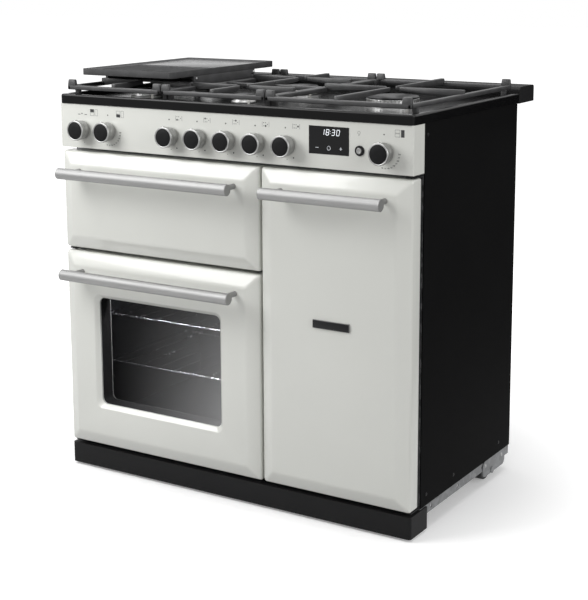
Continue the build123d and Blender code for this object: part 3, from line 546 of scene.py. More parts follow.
WIRE_CHROME = Metal("shelf_chrome", (0.78, 0.78, 0.79), 0.26, Grain.NONE, 0.05, 200.0)
CAST = CastIron("cast_iron", (0.034, 0.034, 0.035), 0.4)
PLATE_CAST = CastIron("griddle_cast", (0.03, 0.03, 0.031), 0.62, 0.0002)
PLATE_SMOOTH = CastIron("griddle_smooth", (0.06, 0.06, 0.061), 0.24, 0.00004)
ALLOY = Metal("burner_alloy", (0.48, 0.48, 0.475), 0.38, Grain.NONE, 0.2, 700.0)
CAP_ENAMEL = PowderCoat("burner_cap_enamel", (0.011, 0.011, 0.012), 0.38, 0.00003)
BRASS = Metal("tap_brass", (0.62, 0.46, 0.2), 0.3, Grain.ALONG_Y)
PIPE_METAL = Metal("pipe_aluminium", (0.55, 0.55, 0.56), 0.35, Grain.ALONG_Y)
SEAL = Polymer("seal_rubber", (0.018, 0.018, 0.018), 0.75)
ROLLER = Polymer("roller_plastic", (0.02, 0.02, 0.021), 0.55)
SWITCH = Polymer("switch_plastic", (0.09, 0.09, 0.09), 0.5)
KNOB_FACE = PowderCoat("knob_face", (0.008, 0.008, 0.0085), 0.5, 0.0001, 0.12)
DISPLAY = BlackGlass("display_glass", (0.006, 0.006, 0.007), 0.06, 0.4)
WINDOW = CoatedGlass("oven_glass", (0.82, 0.82, 0.83), 0.0)
BADGE_GREY = PowderCoat("badge_back", (0.2, 0.2, 0.2), 0.4, 0.00003, 0.2)
CERAMIC = Polymer("igniter_ceramic", (0.75, 0.74, 0.7), 0.4)
SHEATH = HotSheath("element_sheath", (0.12, 0.115, 0.11), 0.35)
MARKS = Ink("panel_marks_ink", (0.018, 0.018, 0.019), 0.45)
PALE_MARKS = Ink("pale_marks_ink", (0.09, 0.09, 0.092), 0.45)
DIGITS = Lamp("display_digits", (0.9, 0.94, 1.0), 0.4, 1.0)
SIGNS = Lamp("display_signs", (0.8, 0.83, 0.88), 0.4, 0.25)
LENS = Lamp("lamp_lens", (0.9, 0.88, 0.82), 0.2, 0.6)

NODE_FINISHES: dict[Finish, str] = {
    CREAM: "control_panel left_door_panel tall_door_panel grill_drawer_front",
    SATIN_BLACK: "side_panels",
    TRIM_BLACK: "plinth rear_vent_trim",
    HOB_BLACK: "hob_tray",
    OVEN_ENAMEL: "grill_cavity left_oven_cavity tall_oven_cavity left_door_liner tall_door_liner grill_pan",
    ZINC: "base_frame rear_panel front_frame roller_brackets",
    PART_STEEL: "grill_rails grill_carriage gas_rail fan_motors left_oven_fan tall_oven_fan "
    "left_foot right_foot",
    BAR_STEEL: "left_door_handle tall_door_handle grill_drawer_handle",
    WIRE_CHROME: "oven_shelves",
    CAST: "left_pan_support centre_pan_support right_pan_support",
    PLATE_CAST: "griddle",
    ALLOY: "burner_heads",
    CAP_ENAMEL: "burner_caps door_hinges",
    BRASS: "gas_taps left_front_tap_spindle left_rear_tap_spindle centre_rear_tap_spindle "
    "centre_front_tap_spindle right_tap_spindle",
    PIPE_METAL: "burner_pipes",
    SEAL: "oven_seals",
    ROLLER: "left_roller right_roller",
    SWITCH: "selector_switches",
    DISPLAY: "display_module",
    WINDOW: "left_door_glass",
    SHEATH: "heating_elements",
    KNOB_METAL: "grill_knob left_oven_knob tall_oven_knob left_front_burner_knob left_rear_burner_knob "
    "centre_rear_burner_knob centre_front_burner_knob right_burner_knob light_button",
}


class Element(Enum):
    """What is selected on a mesh in edit mode."""

    FACE = "FACE"
    EDGE = "EDGE"


class Bench:
    """The workbench: pieces are added, shaped and finished with Blender's operators."""

    @staticmethod
    def pick(*objects: Piece) -> None:
        """Selects only some objects.

        Args:
            objects: What to select; the first becomes the active one.
        """
        bpy.ops.object.select_all(action="DESELECT")
        for obj in objects:
            obj.select_set(True)
        bpy.context.view_layer.objects.active = objects[0]

    @staticmethod
    @contextmanager
    def shaping(obj: Piece) -> Iterator[None]:
        """Opens an object in edit mode for a while.

        Args:
            obj: The object to shape.

        Returns:
            The open edit session.
        """
        Bench.pick(obj)
        bpy.ops.object.mode_set(mode="EDIT")
        yield
        bpy.ops.object.mode_set(mode="OBJECT")

    @staticmethod
    def choose(obj: Piece, kind: Element, test: Callable[[object], bool]) -> None:
        """Selects the faces or edges of an open object that pass a test.

        Args:
            obj: The object in edit mode.
            kind: Whether faces or edges are selected.
            test: Says whether an element is chosen.
        """
        bpy.ops.mesh.select_mode(type=kind.value)
        bpy.ops.mesh.select_all(action="DESELECT")
        mesh = bmesh.from_edit_mesh(obj.data)
        for element in [e for e in (mesh.faces if kind is Element.FACE else mesh.edges) if test(e)]:
            element.select_set(True)
        mesh.select_flush_mode()
        bmesh.update_edit_mesh(obj.data)

    @staticmethod
    def choose_facing(obj: Piece, axis: Sequence[float]) -> None:
        """Selects the faces of an open object that face along an axis."""
        Bench.choose(obj, Element.FACE, lambda f: f.normal.dot(Vector(axis)) > FACING)

    @staticmethod
    def round_corners(obj: Piece, axis: Point, radius: float, steps: int) -> None:
        """Rounds the edges of a plain block that run along one axis.

        Args:
            obj: The block.
            axis: The direction of the edges.
            radius: The radius of the rounding.
            steps: The segments of that radius.
        """
        along = Vector(axis)
        with Bench.shaping(obj):
            Bench.choose(
                obj,
                Element.EDGE,
                lambda e: abs((e.verts[0].co - e.verts[1].co).normalized().dot(along)) > FACING,
            )
            bpy.ops.mesh.bevel(offset=radius, segments=steps)

    @staticmethod
    def settle(obj: Piece) -> Piece:
        """Applies an object's place, turn and size to its mesh."""
        Bench.pick(obj)
        bpy.ops.object.transform_apply(location=True, rotation=True, scale=True)
        return obj

    @staticmethod
    def block(name: str, low: Sequence[float], high: Sequence[float], edge: float = 0.0, steps: int = 2) -> Piece:
        """Makes a block between two corners, with rounded edges.

        Args:
            name: The piece's name.
            low: Its lowest corner.
            high: Its highest corner.
            edge: The radius of its edges.
            steps: The segments of that radius.

        Returns:
            The new object.
        """
        low, high = Vector(low), Vector(high)
        bpy.ops.object.select_all(action="DESELECT")
        bpy.ops.mesh.primitive_cube_add(size=1.0, location=(low + high) / 2, scale=high - low)
        obj = bpy.context.object
        obj.name = name
        Bench.settle(obj)
        if edge:
            Bench.soften(obj, edge, steps)
        return obj

    @staticmethod
    def taper(obj: Piece, axis: Point, share: Size, centre: Sequence[float]) -> None:
        """Narrows the end of an upright block.

        Args:
            obj: The block.
            axis: The way that the end faces, up or down.
            share: What is left of the width and the depth there.
            centre: The middle of that end.
        """
        with Bench.shaping(obj):
            Bench.choose_facing(obj, axis)
            bpy.ops.transform.resize(value=(*share, 1.0), center_override=centre)

    @staticmethod
    def bar(name: str, start: Point, end: Point, first: Size, last: Size, edge: float) -> Piece:
        """Makes a bar along X or Y that tapers from one end to the other, with a level top.

        Args:
            name: The piece's name.
            start: The middle of the top edge at the first end.
            end: The middle of the top edge at the last end.
            first: Width and height at the first end.
            last: Width and height at the last end.
            edge: The radius of its edges.

        Returns:
            The new object.
        """
        start, end = Vector(start), Vector(end)
        run = (end - start).normalized()
        across = Vector(UPWARD).cross(run)
        reach = across * first[0] / 2
        corners = [start - reach, start + reach, end - reach, end + reach]
        low = [min(c[i] for c in corners) for i in range(2)] + [start.z - first[1]]
        high = [max(c[i] for c in corners) for i in range(2)] + [start.z]
        obj = Bench.block(name, low, high)
        with Bench.shaping(obj):
            Bench.choose_facing(obj, run)
            share = last[0] / first[0]
            size = [share if abs(a) > FACING else 1.0 for a in across[:2]] + [last[1] / first[1]]
            bpy.ops.transform.resize(value=size, center_override=end)
            bpy.ops.transform.translate(value=(0.0, 0.0, end.z - start.z))
        return Bench.soften(obj, edge)

    @staticmethod
    def turned(name: str, rings: Rings, centre: Sequence[float], axis: Point, sides: int) -> Piece:
        """Makes a turned piece by drawing a disc out along an axis.

        Args:
            name: The piece's name.
            rings: Radius and height of each step in millimetres, from the foot up.
            centre: The point on the axis at height zero.
            axis: The direction of growing height.
            sides: The sides of each ring.

        Returns:
            The new object.
        """
        steps = [(radius * MM, height * MM) for radius, height in rings]
        foot, start = steps[0]
        bpy.ops.object.select_all(action="DESELECT")
        bpy.ops.mesh.primitive_circle_add(
            vertices=sides, radius=foot, fill_type="NGON", location=(0.0, 0.0, start)
        )
        obj = bpy.context.object
        obj.name = name
        Bench.settle(obj)
        with Bench.shaping(obj):
            bpy.ops.mesh.select_mode(type="FACE")
            bpy.ops.mesh.select_all(action="SELECT")
            for (radius, height), (wide, top) in zip(steps, steps[1:]):
                bpy.ops.mesh.extrude_region_move(TRANSFORM_OT_translate={"value": (0.0, 0.0, top - height)})
                size = (wide / radius, wide / radius, 1.0)
                bpy.ops.transform.resize(value=size, center_override=(0.0, 0.0, top))
            bpy.ops.mesh.select_all(action="SELECT")
            bpy.ops.mesh.normals_make_consistent(inside=False)
        turn = Vector(UPWARD).rotation_difference(Vector(axis)).to_matrix().to_4x4()
        obj.data.transform(at(*centre) @ turn)
        return Bench.smooth(obj)

    @staticmethod
    def soften(obj: Piece, width: float, steps: int = 2, angle: float = 30.0) -> Piece:
        """Rounds an object's edges and smooths its shading.

        Args:
            obj: The object.
            width: The radius of the edges.
            steps: The segments of that radius.
            angle: The least turn of an edge that is rounded, in degrees.

        Returns:
            The object.
        """
        bevel = obj.modifiers.new("edges", "BEVEL")
        bevel.width = width
        bevel.segments = steps
        bevel.limit_method = "ANGLE"
        bevel.angle_limit = radians(angle)
        bevel.harden_normals = False
        Bench.pick(obj)
        bpy.ops.object.modifier_apply(modifier=bevel.name)
        return Bench.smooth(obj, angle)

    @staticmethod
    def smooth(obj: Piece, angle: float = 35.0) -> Piece:
        """Smooths the shading across edges that turn less than an angle in degrees."""
        Bench.pick(obj)
        bpy.ops.object.shade_smooth_by_angle(angle=radians(angle))
        return obj

    @staticmethod
    def cut(obj: Piece, *tools: Piece) -> Piece:
        """Cuts shapes out of an object.

        Args:
            obj: The object.
            tools: The shapes, which are removed afterwards.

        Returns:
            The object.
        """
        for tool in tools:
            cut = obj.modifiers.new("cut", "BOOLEAN")
            cut.object = tool
            cut.solver = "EXACT"
            Bench.pick(obj)
            bpy.ops.object.modifier_apply(modifier=cut.name)
            Bench.discard(tool)
        return obj

    @staticmethod
    def discard(*pieces: Piece) -> None:
        """Removes tools and patterns with their meshes."""
        for piece in pieces:
            mesh = piece.data
            bpy.data.objects.remove(piece)
            bpy.data.meshes.remove(mesh)

    @staticmethod
    def join(name: str, pieces: Sequence[Piece]) -> Piece:
        """Joins pieces into one object.

        Args:
            name: The name of the whole.
            pieces: The pieces, at least one.

        Returns:
            The whole.
        """
        Bench.pick(*pieces)
        if len(pieces) > 1:
            bpy.ops.object.join()
        obj = bpy.context.view_layer.objects.active
        obj.name = name
        return obj

    @staticmethod
    def copy(obj: Piece, name: str, move: Matrix) -> Piece:
        """Copies an object with its own mesh.

        Args:
            obj: The object.
            name: The copy's name.
            move: How the copy is moved and turned.

        Returns:
            The copy.
        """
        twin = obj.copy()
        twin.data = obj.data.copy()
        twin.name = name
        bpy.context.collection.objects.link(twin)
        twin.data.transform(move)
        return twin

    @staticmethod
    def spread(pattern: Piece, moves: Iterable[Matrix]) -> list[Piece]:
        """Sets copies of a pattern and removes the pattern.

        Args:
            pattern: The piece to copy, modelled at the origin.
            moves: How each copy is moved and turned.

        Returns:
            The copies.
        """
        made = [Bench.copy(pattern, pattern.name, move) for move in moves]
        Bench.discard(pattern)
        return made

    @staticmethod
    def lettering(name: str, words: str, size: float, centre: Sequence[float], depth: float) -> Piece:
        """Makes small upright figures that face the front.

        Args:
            name: The piece's name.
            words: The figures.
            size: Their height.
            centre: Their middle.
            depth: How far they stand out.

        Returns:
            The new object.
        """
        bpy.ops.object.select_all(action="DESELECT")
        bpy.ops.object.text_add(location=centre, rotation=(pi / 2, 0.0, 0.0))
        obj = bpy.context.object
        obj.name = name
        obj.data.body = words
        obj.data.size = size
        obj.data.align_x = obj.data.align_y = "CENTER"
        obj.data.extrude = depth
        obj.data.resolution_u = 3
        bpy.ops.object.convert(target="MESH")
        return Bench.settle(bpy.context.object)

    @staticmethod
    def dress(obj: Piece, finish: Finish, body: str, slot: str, stands_for: str = "") -> Piece:
        """Gives a piece its finish, its body and the node that it stands for.

        Args:
            obj: The piece.
            finish: Its finish.
            body: The body that it rides on.
            slot: The record's material slot; not used.
            stands_for: The node that it replaces, if any.

        Returns:
            The piece.
        """
        obj.data.materials.clear()
        obj.data.materials.append(finish.material())
        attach(obj, body)
        if stands_for:
            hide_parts(stands_for)
        log.info("%s rides on %s", obj.name, body)
        return obj


def span(node: str) -> tuple[Vector, Vector]:
    """Gives a node's lowest and highest corner at rest."""
    low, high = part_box(node)
    return Vector(low), Vector(high)


def middle(node: str) -> Vector:
    """Gives the middle of a node's box at rest."""
    low, high = span(node)
    return (low + high) / 2


def panel_face(node: str) -> Vector:
    """Gives the point on the control panel's face in front of the middle of a node."""
    return Vector((middle(node).x, behind(0.0), middle(node).z))


def behind(distance: float) -> float:
    """Gives the Y of what stands some millimetres behind the control panel's face."""
    return span("control_panel")[0].y + distance * MM


def at(x: float, y: float, z: float) -> Matrix:
    """Gives the move from the origin to a point."""
    return Matrix.Translation((x, y, z))


@dataclass
class Front:
    """A pressed front: a raised field inside a wide bevel, with softly rounded folds."""

    node: str
    body: str
    bevel_width: float = 30 * MM
    field_rise: float = 13 * MM
    fold: float = 4.5 * MM
    fold_steps: int = 5
    fold_angle: float = 10.0
    shading: float = 40.0
    liner: float = 4.5 * MM
    obj: Piece = field(init=False)

    def build(self) -> None:
        """Models the front and dresses it."""
        low, high = span(self.node)
        edge_low = (low.x, low.y + self.field_rise, low.z)
        edge_high = (high.x, high.y - self.liner, high.z)
        self.obj = Bench.block(f"{self.node}_pressed", edge_low, edge_high)
        with Bench.shaping(self.obj):
            Bench.choose_facing(self.obj, FORWARD)
            bpy.ops.mesh.inset(thickness=self.bevel_width, depth=0.0)
            bpy.ops.transform.translate(value=(0.0, -self.field_rise, 0.0))
        Bench.soften(self.obj, self.fold, self.fold_steps, self.fold_angle)
        self.shape(low, high)
        Bench.smooth(self.obj, self.shading)
        Bench.dress(self.obj, CREAM, self.body, "cream_enamel", self.node)

    def shape(self, low: Vector, high: Vector) -> None:
        """Adds what only some fronts have, between the front's lowest and highest corner."""


@dataclass
class WindowFront(Front):
    """The front of the left oven, with a glazed window in a sloping reveal."""

    reveal: float = 9 * MM
    reveal_depth: float = 10 * MM
    reveal_fold: float = 2 * MM
    glass_corner: float = 14 * MM
    corner_steps: int = 8
    overshoot: float = 10 * MM
    pane: float = 4 * MM
    lining_wall: float = 1.2 * MM
    lining_gap: float = 0.3 * MM
    flush: float = 0.01 * MM
    crease: float = 0.2

    def shape(self, low: Vector, high: Vector) -> None:
        """Cuts the window and its reveal.

        Args:
            low: The front's lowest corner.
            high: Its highest corner.
        """
        pane_low, pane_high = span("left_door_glass")
        reveal_y = low.y + self.reveal_depth
        glass_low = Vector((pane_low.x + WINDOW_RIM, low.y - self.overshoot, pane_low.z + WINDOW_RIM))
        glass_high = Vector((pane_high.x - WINDOW_RIM, high.y + self.overshoot, pane_high.z - WINDOW_RIM))
        flare = self._tool("reveal_cut", glass_low, (glass_high.x, reveal_y, glass_high.z))
        grow = self.reveal * (reveal_y - glass_low.y) / self.reveal_depth
        size = glass_high - glass_low
        centre = (glass_low + glass_high) / 2
        with Bench.shaping(flare):
            Bench.choose_facing(flare, FORWARD)
            bpy.ops.transform.resize(
                value=(1.0 + 2 * grow / size.x, 1.0, 1.0 + 2 * grow / size.z),
                center_override=(centre.x, glass_low.y, centre.z),
            )
        Bench.cut(self.obj, self._tool("window_cut", glass_low, glass_high), flare)
        reach = self.reveal + self.reveal_fold

        def on_rim(point: Vector) -> bool:
            """Says whether a point lies on the field, at the edge of the reveal."""
            inside = all(glass_low[i] - reach < point[i] < glass_high[i] + reach for i in (0, 2))
            return inside and abs(point.y - low.y) < self.flush

        with Bench.shaping(self.obj):
            Bench.choose(
                self.obj,
                Element.EDGE,
                lambda e: all(on_rim(v.co) for v in e.verts) and e.calc_face_angle(0.0) > self.crease,
            )
            bpy.ops.mesh.bevel(offset=self.reveal_fold, segments=3)
        self._line(glass_low, glass_high, (pane_low.y, pane_high.y))

    def _line(self, low: Vector, high: Vector, panes: Size) -> None:
        """Lines the tunnel between the two panes with a black strip.

        Args:
            low: The lowest corner of the tunnel.
            high: Its highest corner.
            panes: The outer face of the outer pane and the inner face of the inner one.
        """
        wall = Vector((self.lining_wall, 0.0, self.lining_wall))
        front = panes[0] + self.pane + self.lining_gap
        rear = panes[1] - self.pane - self.lining_gap
        lining = self._tool("window_lining", (low.x, front, low.z), (high.x, rear, high.z))
        Bench.cut(lining, self._tool("lining_cut", low + wall, high - wall))
        Bench.dress(Bench.smooth(lining, self.shading), SEAL, self.body, "seal_rubber")

    def _tool(self, name: str, low: Sequence[float], high: Sequence[float]) -> Piece:
        """Makes a block with the window's round corners.

        Args:
            name: The block's name.
            low: Its lowest corner.
            high: Its highest corner.

        Returns:
            The block.
        """
        tool = Bench.block(name, low, high)
        Bench.round_corners(tool, FORWARD, self.glass_corner, self.corner_steps)
        return tool


@dataclass
class Knobs:
    """The eight control knobs: a turned metal body, a black face and a pointer, in millimetres."""

    bodies: tuple[str, ...] = (
        "grill_knob",
        "left_oven_knob",
        "left_front_burner_knob",
        "left_rear_burner_knob",
        "centre_rear_burner_knob",
        "centre_front_burner_knob",
        "right_burner_knob",
        "tall_oven_knob",
    )
    rings: Rings = (
        (19.6, 0.0), (20.6, 0.5), (21.0, 1.4), (21.5, 13.6), (21.2, 14.4), (20.4, 14.8), (20.4, 15.8), (21.4, 16.2),
        (22.4, 17.2), (22.85, 18.6), (22.9, 23.6), (22.7, 25.4), (22.1, 26.5), (21.4, 26.95), (20.7, 27.0),
        (20.0, 26.8), (19.5, 26.4), (19.4, 25.9),
    )
    face_rings: Rings = ((19.4, 25.7), (19.4, 26.0), (19.1, 26.2), (6.0, 26.25))
    spindle_rings: Rings = ((4.0, 0.0), (4.0, 63.0), (3.4, 64.0))
    nib_low: Point = (-0.9, -25.5, 22.4)
    nib_size: Point = (1.8, 8.5, 1.3)
    nib_edge: float = 0.3
    length: float = 27.0
    sides: int = 72
    spindle_sides: int = 24

    def build(self) -> None:
        """Models one knob and sets a copy on each spindle."""
        first = self.bodies[0]
        origin = Vector((middle(first).x, span(first)[0].y + self.length * MM, middle(first).z))
        nib_low = origin + Vector(self.nib_low) * MM
        nib_high = nib_low + Vector(self.nib_size) * MM
        grip = Bench.turned("knob_pattern", self.rings, origin, FORWARD, self.sides)
        face = Bench.turned("face_pattern", self.face_rings, origin, FORWARD, self.sides)
        nib = Bench.block("nib_pattern", nib_low, nib_high, self.nib_edge * MM)
        spindle = Bench.turned("spindle_pattern", self.spindle_rings, origin, BACKWARD, self.spindle_sides)
        for body in self.bodies:
            move = at(middle(body).x - origin.x, 0.0, 0.0)
            Bench.dress(Bench.copy(grip, f"{body}_grip", move), KNOB_METAL, body, "knob_metal", body)
            Bench.dress(Bench.copy(face, f"{body}_face", move), KNOB_FACE, body, "knob_metal")
            Bench.dress(Bench.copy(nib, f"{body}_pointer", move), POLISHED, body, "knob_metal")
            if not body.endswith("burner_knob"):
                Bench.dress(Bench.copy(spindle, f"{body}_spindle", move), PART_STEEL, body, "steel")
        Bench.discard(grip, face, nib, spindle)


@dataclass
class LightButton:
    """The round push button beside the display, with its bezel, in millimetres."""

    cap_rings: Rings = ((6.2, -2.2), (6.2, 3.6), (5.9, 4.5), (5.2, 5.0), (3.6, 4.9), (3.2, 4.2), (0.8, 4.0))
    bezel_rings: Rings = ((10.6, 0.05), (10.6, 1.6), (10.1, 2.3), (8.4, 2.5), (6.9, 2.0))
    hole_rings: Rings = ((6.6, -5.0), (6.6, 5.0))
    sides: int = 48

    def build(self) -> None:
        """Models the button and the bezel."""
        centre = panel_face("light_button")
        cap = Bench.turned("light_button_cap", self.cap_rings, centre, FORWARD, self.sides)
        Bench.dress(cap, KNOB_METAL, "light_button", "knob_metal", "light_button")
        bezel = Bench.turned("light_button_bezel", self.bezel_rings, centre, FORWARD, self.sides)
        Bench.cut(bezel, Bench.turned("bezel_cut", self.hole_rings, centre, FORWARD, self.sides))
        Bench.dress(Bench.smooth(bezel), CAP_ENAMEL, BODY, "black_enamel")


class OvenCell(Enum):
    """The compartments in the sign over an oven knob: place and size of each, in millimetres."""

    LEFT = (-5.2, -4.0, 11.0, 6.8)
    GRILL = (-5.2, 3.6, 11.0, 6.8)
    TALL = (6.4, -0.2, 7.6, 14.6)


class Bar(Enum):
    """The bars of a lit figure: their place as shares of its width and height, and whether they lie level."""

    TOP = (0.5, 1.0, True)
    MIDDLE = (0.5, 0.5, True)
    FOOT = (0.5, 0.0, True)
    UPPER_LEFT = (0.0, 0.75, False)
    UPPER_RIGHT = (1.0, 0.75, False)
    LOWER_LEFT = (0.0, 0.25, False)
    LOWER_RIGHT = (1.0, 0.25, False)


@dataclass
class PanelMarks:
    """The printed marks on the control panel and the lit figures of the display, in millimetres."""

    thickness: float = 0.12
    line: float = 0.55
    icon_rise: float = 40.0
    oven_icon_x: float = 32.0
    burner_icon_x: float = 21.0
    dot_rise: float = 36.0
    dot_sides: int = 16
    oven_dot: Size = (-3.0, 1.5)
    off_dot: Size = (-5.0, 1.6)
    grill_bars: tuple[Size, ...] = ((-11.0, 34.0), (8.0, 34.0))
    grill_bar_size: Size = (7.0, 1.4)
    grill_dot: Point = (2.0, -29.0, 0.9)
    number_reach: float = 31.5
    number_size: float = 3.4
    number_start: float = 258.0
    number_step: float = 12.5
    oven_numbers: tuple[str, ...] = tuple(str(heat) for heat in range(50, 251, 25))
    flame_reach: float = 29.0
    flames: tuple[Size, ...] = ((300.0, 1.6), (268.0, 0.9))
    spot_pitch: Size = (4.6, 3.4)
    own_spot: float = 2.0
    other_spot: float = 1.0
    icon_side_x: float = 8.4
    icon_side: float = 11.0
    burner_spots: tuple[tuple[str, int, int], ...] = (
        ("left_front", -1, -1),
        ("left_rear", -1, 1),
        ("centre_rear", 0, 1),
        ("centre_front", 0, -1),
        ("right", 1, 0),
    )
    figure: Size = (6.2, 11.4)
    figure_pitch: float = 11.2
    figure_gap: float = 2.0
    figure_start: Point = (-18.0, 0.0, -20.6)
    stroke: float = 0.85
    stroke_gap: float = 0.9
    slant: float = 0.16
    colon_x: float = 20.8
    colon_rises: Size = (0.3, 0.7)
    sign_rise: float = 16.0
    less_x: float = -27.5
    less_size: Size = (7.0, 0.8)
    more_x: float = 28.0
    more_sizes: tuple[Size, ...] = ((6.4, 0.8), (0.8, 6.4))
    set_ring: Size = (4.2, 3.5)
    bulb_x: float = -2.0
    bulb_ring: Size = (3.2, 2.7)
    bulb_feet: tuple[Point, ...] = ((-4.4, 2.6, 0.6), (-5.5, 2.0, 0.6))
    dark: list[Piece] = field(init=False, default_factory=list)
    pale: list[Piece] = field(init=False, default_factory=list)

    def build(self) -> None:
        """Makes every mark, in one piece for each ink."""
        self._oven_marks("grill_knob", OvenCell.GRILL, ())
        self._oven_marks("left_oven_knob", OvenCell.LEFT, self.oven_numbers)
        self._oven_marks("tall_oven_knob", OvenCell.TALL, self.oven_numbers)
        for name, *_ in self.burner_spots:
            self._burner_marks(name)
        self._bulb()
        Bench.dress(Bench.join("panel_marks", self.dark), MARKS, BODY, "black_enamel")
        Bench.dress(Bench.join("panel_pale_marks", self.pale), PALE_MARKS, BODY, "black_enamel")
        low, high = span("display_module")
        self._time(Vector((middle("display_module").x, low.y, high.z)))
        self._signs(Vector((middle("display_module").x, low.y, low.z)))

    def _patch(self, origin: Vector, x: float, z: float, width: float, height: float) -> Piece:
        """Makes one flat patch of ink.

        Args:
            origin: A point on the marked face.
            x: How far right of it the patch is centred.
            z: How far above it the patch is centred.
            width: The patch's width.
            height: The patch's height.

        Returns:
            The patch.
        """
        low = origin + Vector((x - width / 2, -self.thickness, z - height / 2)) * MM
        return Bench.block("ink", low, origin + Vector((x + width / 2, 0.0, z + height / 2)) * MM)

    def _frame(self, origin: Vector, x: float, z: float, width: float, height: float) -> list[Piece]:
        """Makes a rectangular outline of ink.

        Args:
            origin: A point on the marked face.
            x: How far right of it the outline is centred.
            z: How far above it the outline is centred.
            width: The outline's width.
            height: The outline's height.

        Returns:
            The four sides.
        """
        across, up = (width - self.line) / 2, (height - self.line) / 2
        sides = [self._patch(origin, x, z + s * up, width, self.line) for s in (-1, 1)]
        inner = height - 2 * self.line
        return sides + [self._patch(origin, x + s * across, z, self.line, inner) for s in (-1, 1)]

    def _dot(self, origin: Vector, x: float, z: float, radius: float) -> Piece:
        """Makes a round dot of ink.

        Args:
            origin: A point on the marked face.
            x: How far right of it the dot is centred.
            z: How far above it the dot is centred.
            radius: The dot's radius.

        Returns:
            The dot.
        """
        rings = ((radius, 0.0), (radius, self.thickness), (radius * 0.5, self.thickness * 1.05))
        return Bench.turned("ink", rings, origin + Vector((x, 0.0, z)) * MM, FORWARD, self.dot_sides)

    def _ring(self, centre: Vector, outer: float, inner: float, sides: int) -> Piece:
        """Makes a thin ring of ink.

        Args:
            centre: The ring's middle on the marked face.
            outer: Its outer radius.
            inner: Its inner radius.
            sides: The sides of its outline.

        Returns:
            The ring.
        """
        ring = Bench.turned("ink", ((outer, 0.0), (outer, self.thickness)), centre, FORWARD, sides)
        return Bench.cut(ring, Bench.turned("ink_cut", ((inner, -1.0), (inner, 1.0)), centre, FORWARD, sides))

    def _oven_marks(self, knob: str, own: OvenCell, numbers: Sequence[str]) -> None:
        """Marks an oven knob: its place in the cooker, a pointer dot and a dial.

        Args:
            knob: The knob's node.
            own: The compartment that it controls.
            numbers: The figures of its dial; without them it gets the marks of a grill.
        """
        centre = panel_face(knob)
        icon = centre + Vector((self.oven_icon_x, 0.0, self.icon_rise)) * MM
        for cell in OvenCell:
            if cell is own:
                self.dark.append(self._patch(icon, *cell.value))
            else:
                self.pale.extend(self._frame(icon, *cell.value))
        dot_x, dot_radius = self.oven_dot
        self.dark.append(self._dot(centre, dot_x, self.dot_rise, dot_radius))
        if not numbers:
            self.dark.extend(self._patch(centre, *place, *self.grill_bar_size) for place in self.grill_bars)
            self.dark.append(self._dot(centre, *self.grill_dot))
        for i, number in enumerate(numbers):
            angle = radians(self.number_start + i * self.number_step)
            reach = Vector((cos(angle), 0.0, sin(angle))) * self.number_reach
            spot = centre + (reach + Vector(FORWARD) * self.thickness) * MM
            self.dark.append(Bench.lettering("ink", number, self.number_size * MM, spot, self.thickness * MM))

    def _burner_marks(self, own: str) -> None:
        """Marks a hob knob: its burner's place, a dot for off, and the large and small flame.

        Args:
            own: The burner that the knob controls.
        """
        centre = panel_face(f"{own}_burner_knob")
        icon = centre + Vector((self.burner_icon_x, 0.0, self.icon_rise)) * MM
        for name, i, j in self.burner_spots:
            place = (i * self.spot_pitch[0], j * self.spot_pitch[1])
            if name == own:
                self.dark.append(self._dot(icon, *place, self.own_spot))
            else:
                self.pale.append(self._dot(icon, *place, self.other_spot))
        for s in (-1, 1):
            self.pale.append(self._patch(icon, s * self.icon_side_x, 0.0, self.line, self.icon_side))
        dot_x, dot_radius = self.off_dot
        self.dark.append(self._dot(centre, dot_x, self.dot_rise, dot_radius))
        for angle, radius in self.flames:
            x, z = self.flame_reach * cos(radians(angle)), self.flame_reach * sin(radians(angle))
            self.dark.append(self._dot(centre, x, z, radius))

    def _bulb(self) -> None:
        """Draws the lamp sign over the light button."""
        spot = panel_face("light_button") + Vector((self.bulb_x, 0.0, self.dot_rise)) * MM
        self.pale.append(self._ring(spot, *self.bulb_ring, 24))
        self.pale.extend(self._patch(spot, 0.0, *foot) for foot in self.bulb_feet)

    def _time(self, top: Vector) -> None:
        """Lights the time on the display.

        Args:
            top: The middle of the upper edge of the display's face.
        """
        unlit = {
            "1": set(Bar) - {Bar.UPPER_RIGHT, Bar.LOWER_RIGHT},
            "8": set(),
            "3": {Bar.UPPER_LEFT, Bar.LOWER_LEFT},
            "0": {Bar.MIDDLE},
        }
        wide, tall = self.figure
        base = top + Vector(self.figure_start) * MM
        lit: list[Piece] = []
        for i, figure in enumerate("1830"):
            start = i * self.figure_pitch + (self.figure_gap if i > 1 else 0.0)
            for bar in (b for b in Bar if b not in unlit[figure]):
                u, v, level = bar.value
                length = (wide if level else tall / 2) - self.stroke_gap * self.stroke
                size = (length, self.stroke) if level else (self.stroke, length)
                lit.append(self._patch(base, start + u * wide, v * tall, *size))
        for v in self.colon_rises:
            lit.append(self._patch(base, self.colon_x, v * tall, self.stroke, self.stroke))
        digits = Bench.join("display_time", lit)
        for vertex in digits.data.vertices:
            vertex.co.x += self.slant * (vertex.co.z - base.z)
        Bench.dress(digits, DIGITS, BODY, "display_glass")

    def _signs(self, foot: Vector) -> None:
        """Lights the touch signs under the time: less, set and more.

        Args:
            foot: The middle of the lower edge of the display's face.
        """
        row = foot + Vector((0.0, 0.0, self.sign_rise)) * MM
        signs = [self._patch(row, self.less_x, 0.0, *self.less_size), self._ring(row, *self.set_ring, 32)]
        signs += [self._patch(row, self.more_x, 0.0, *size) for size in self.more_sizes]
        Bench.dress(Bench.join("display_signs", signs), SIGNS, BODY, "display_glass")


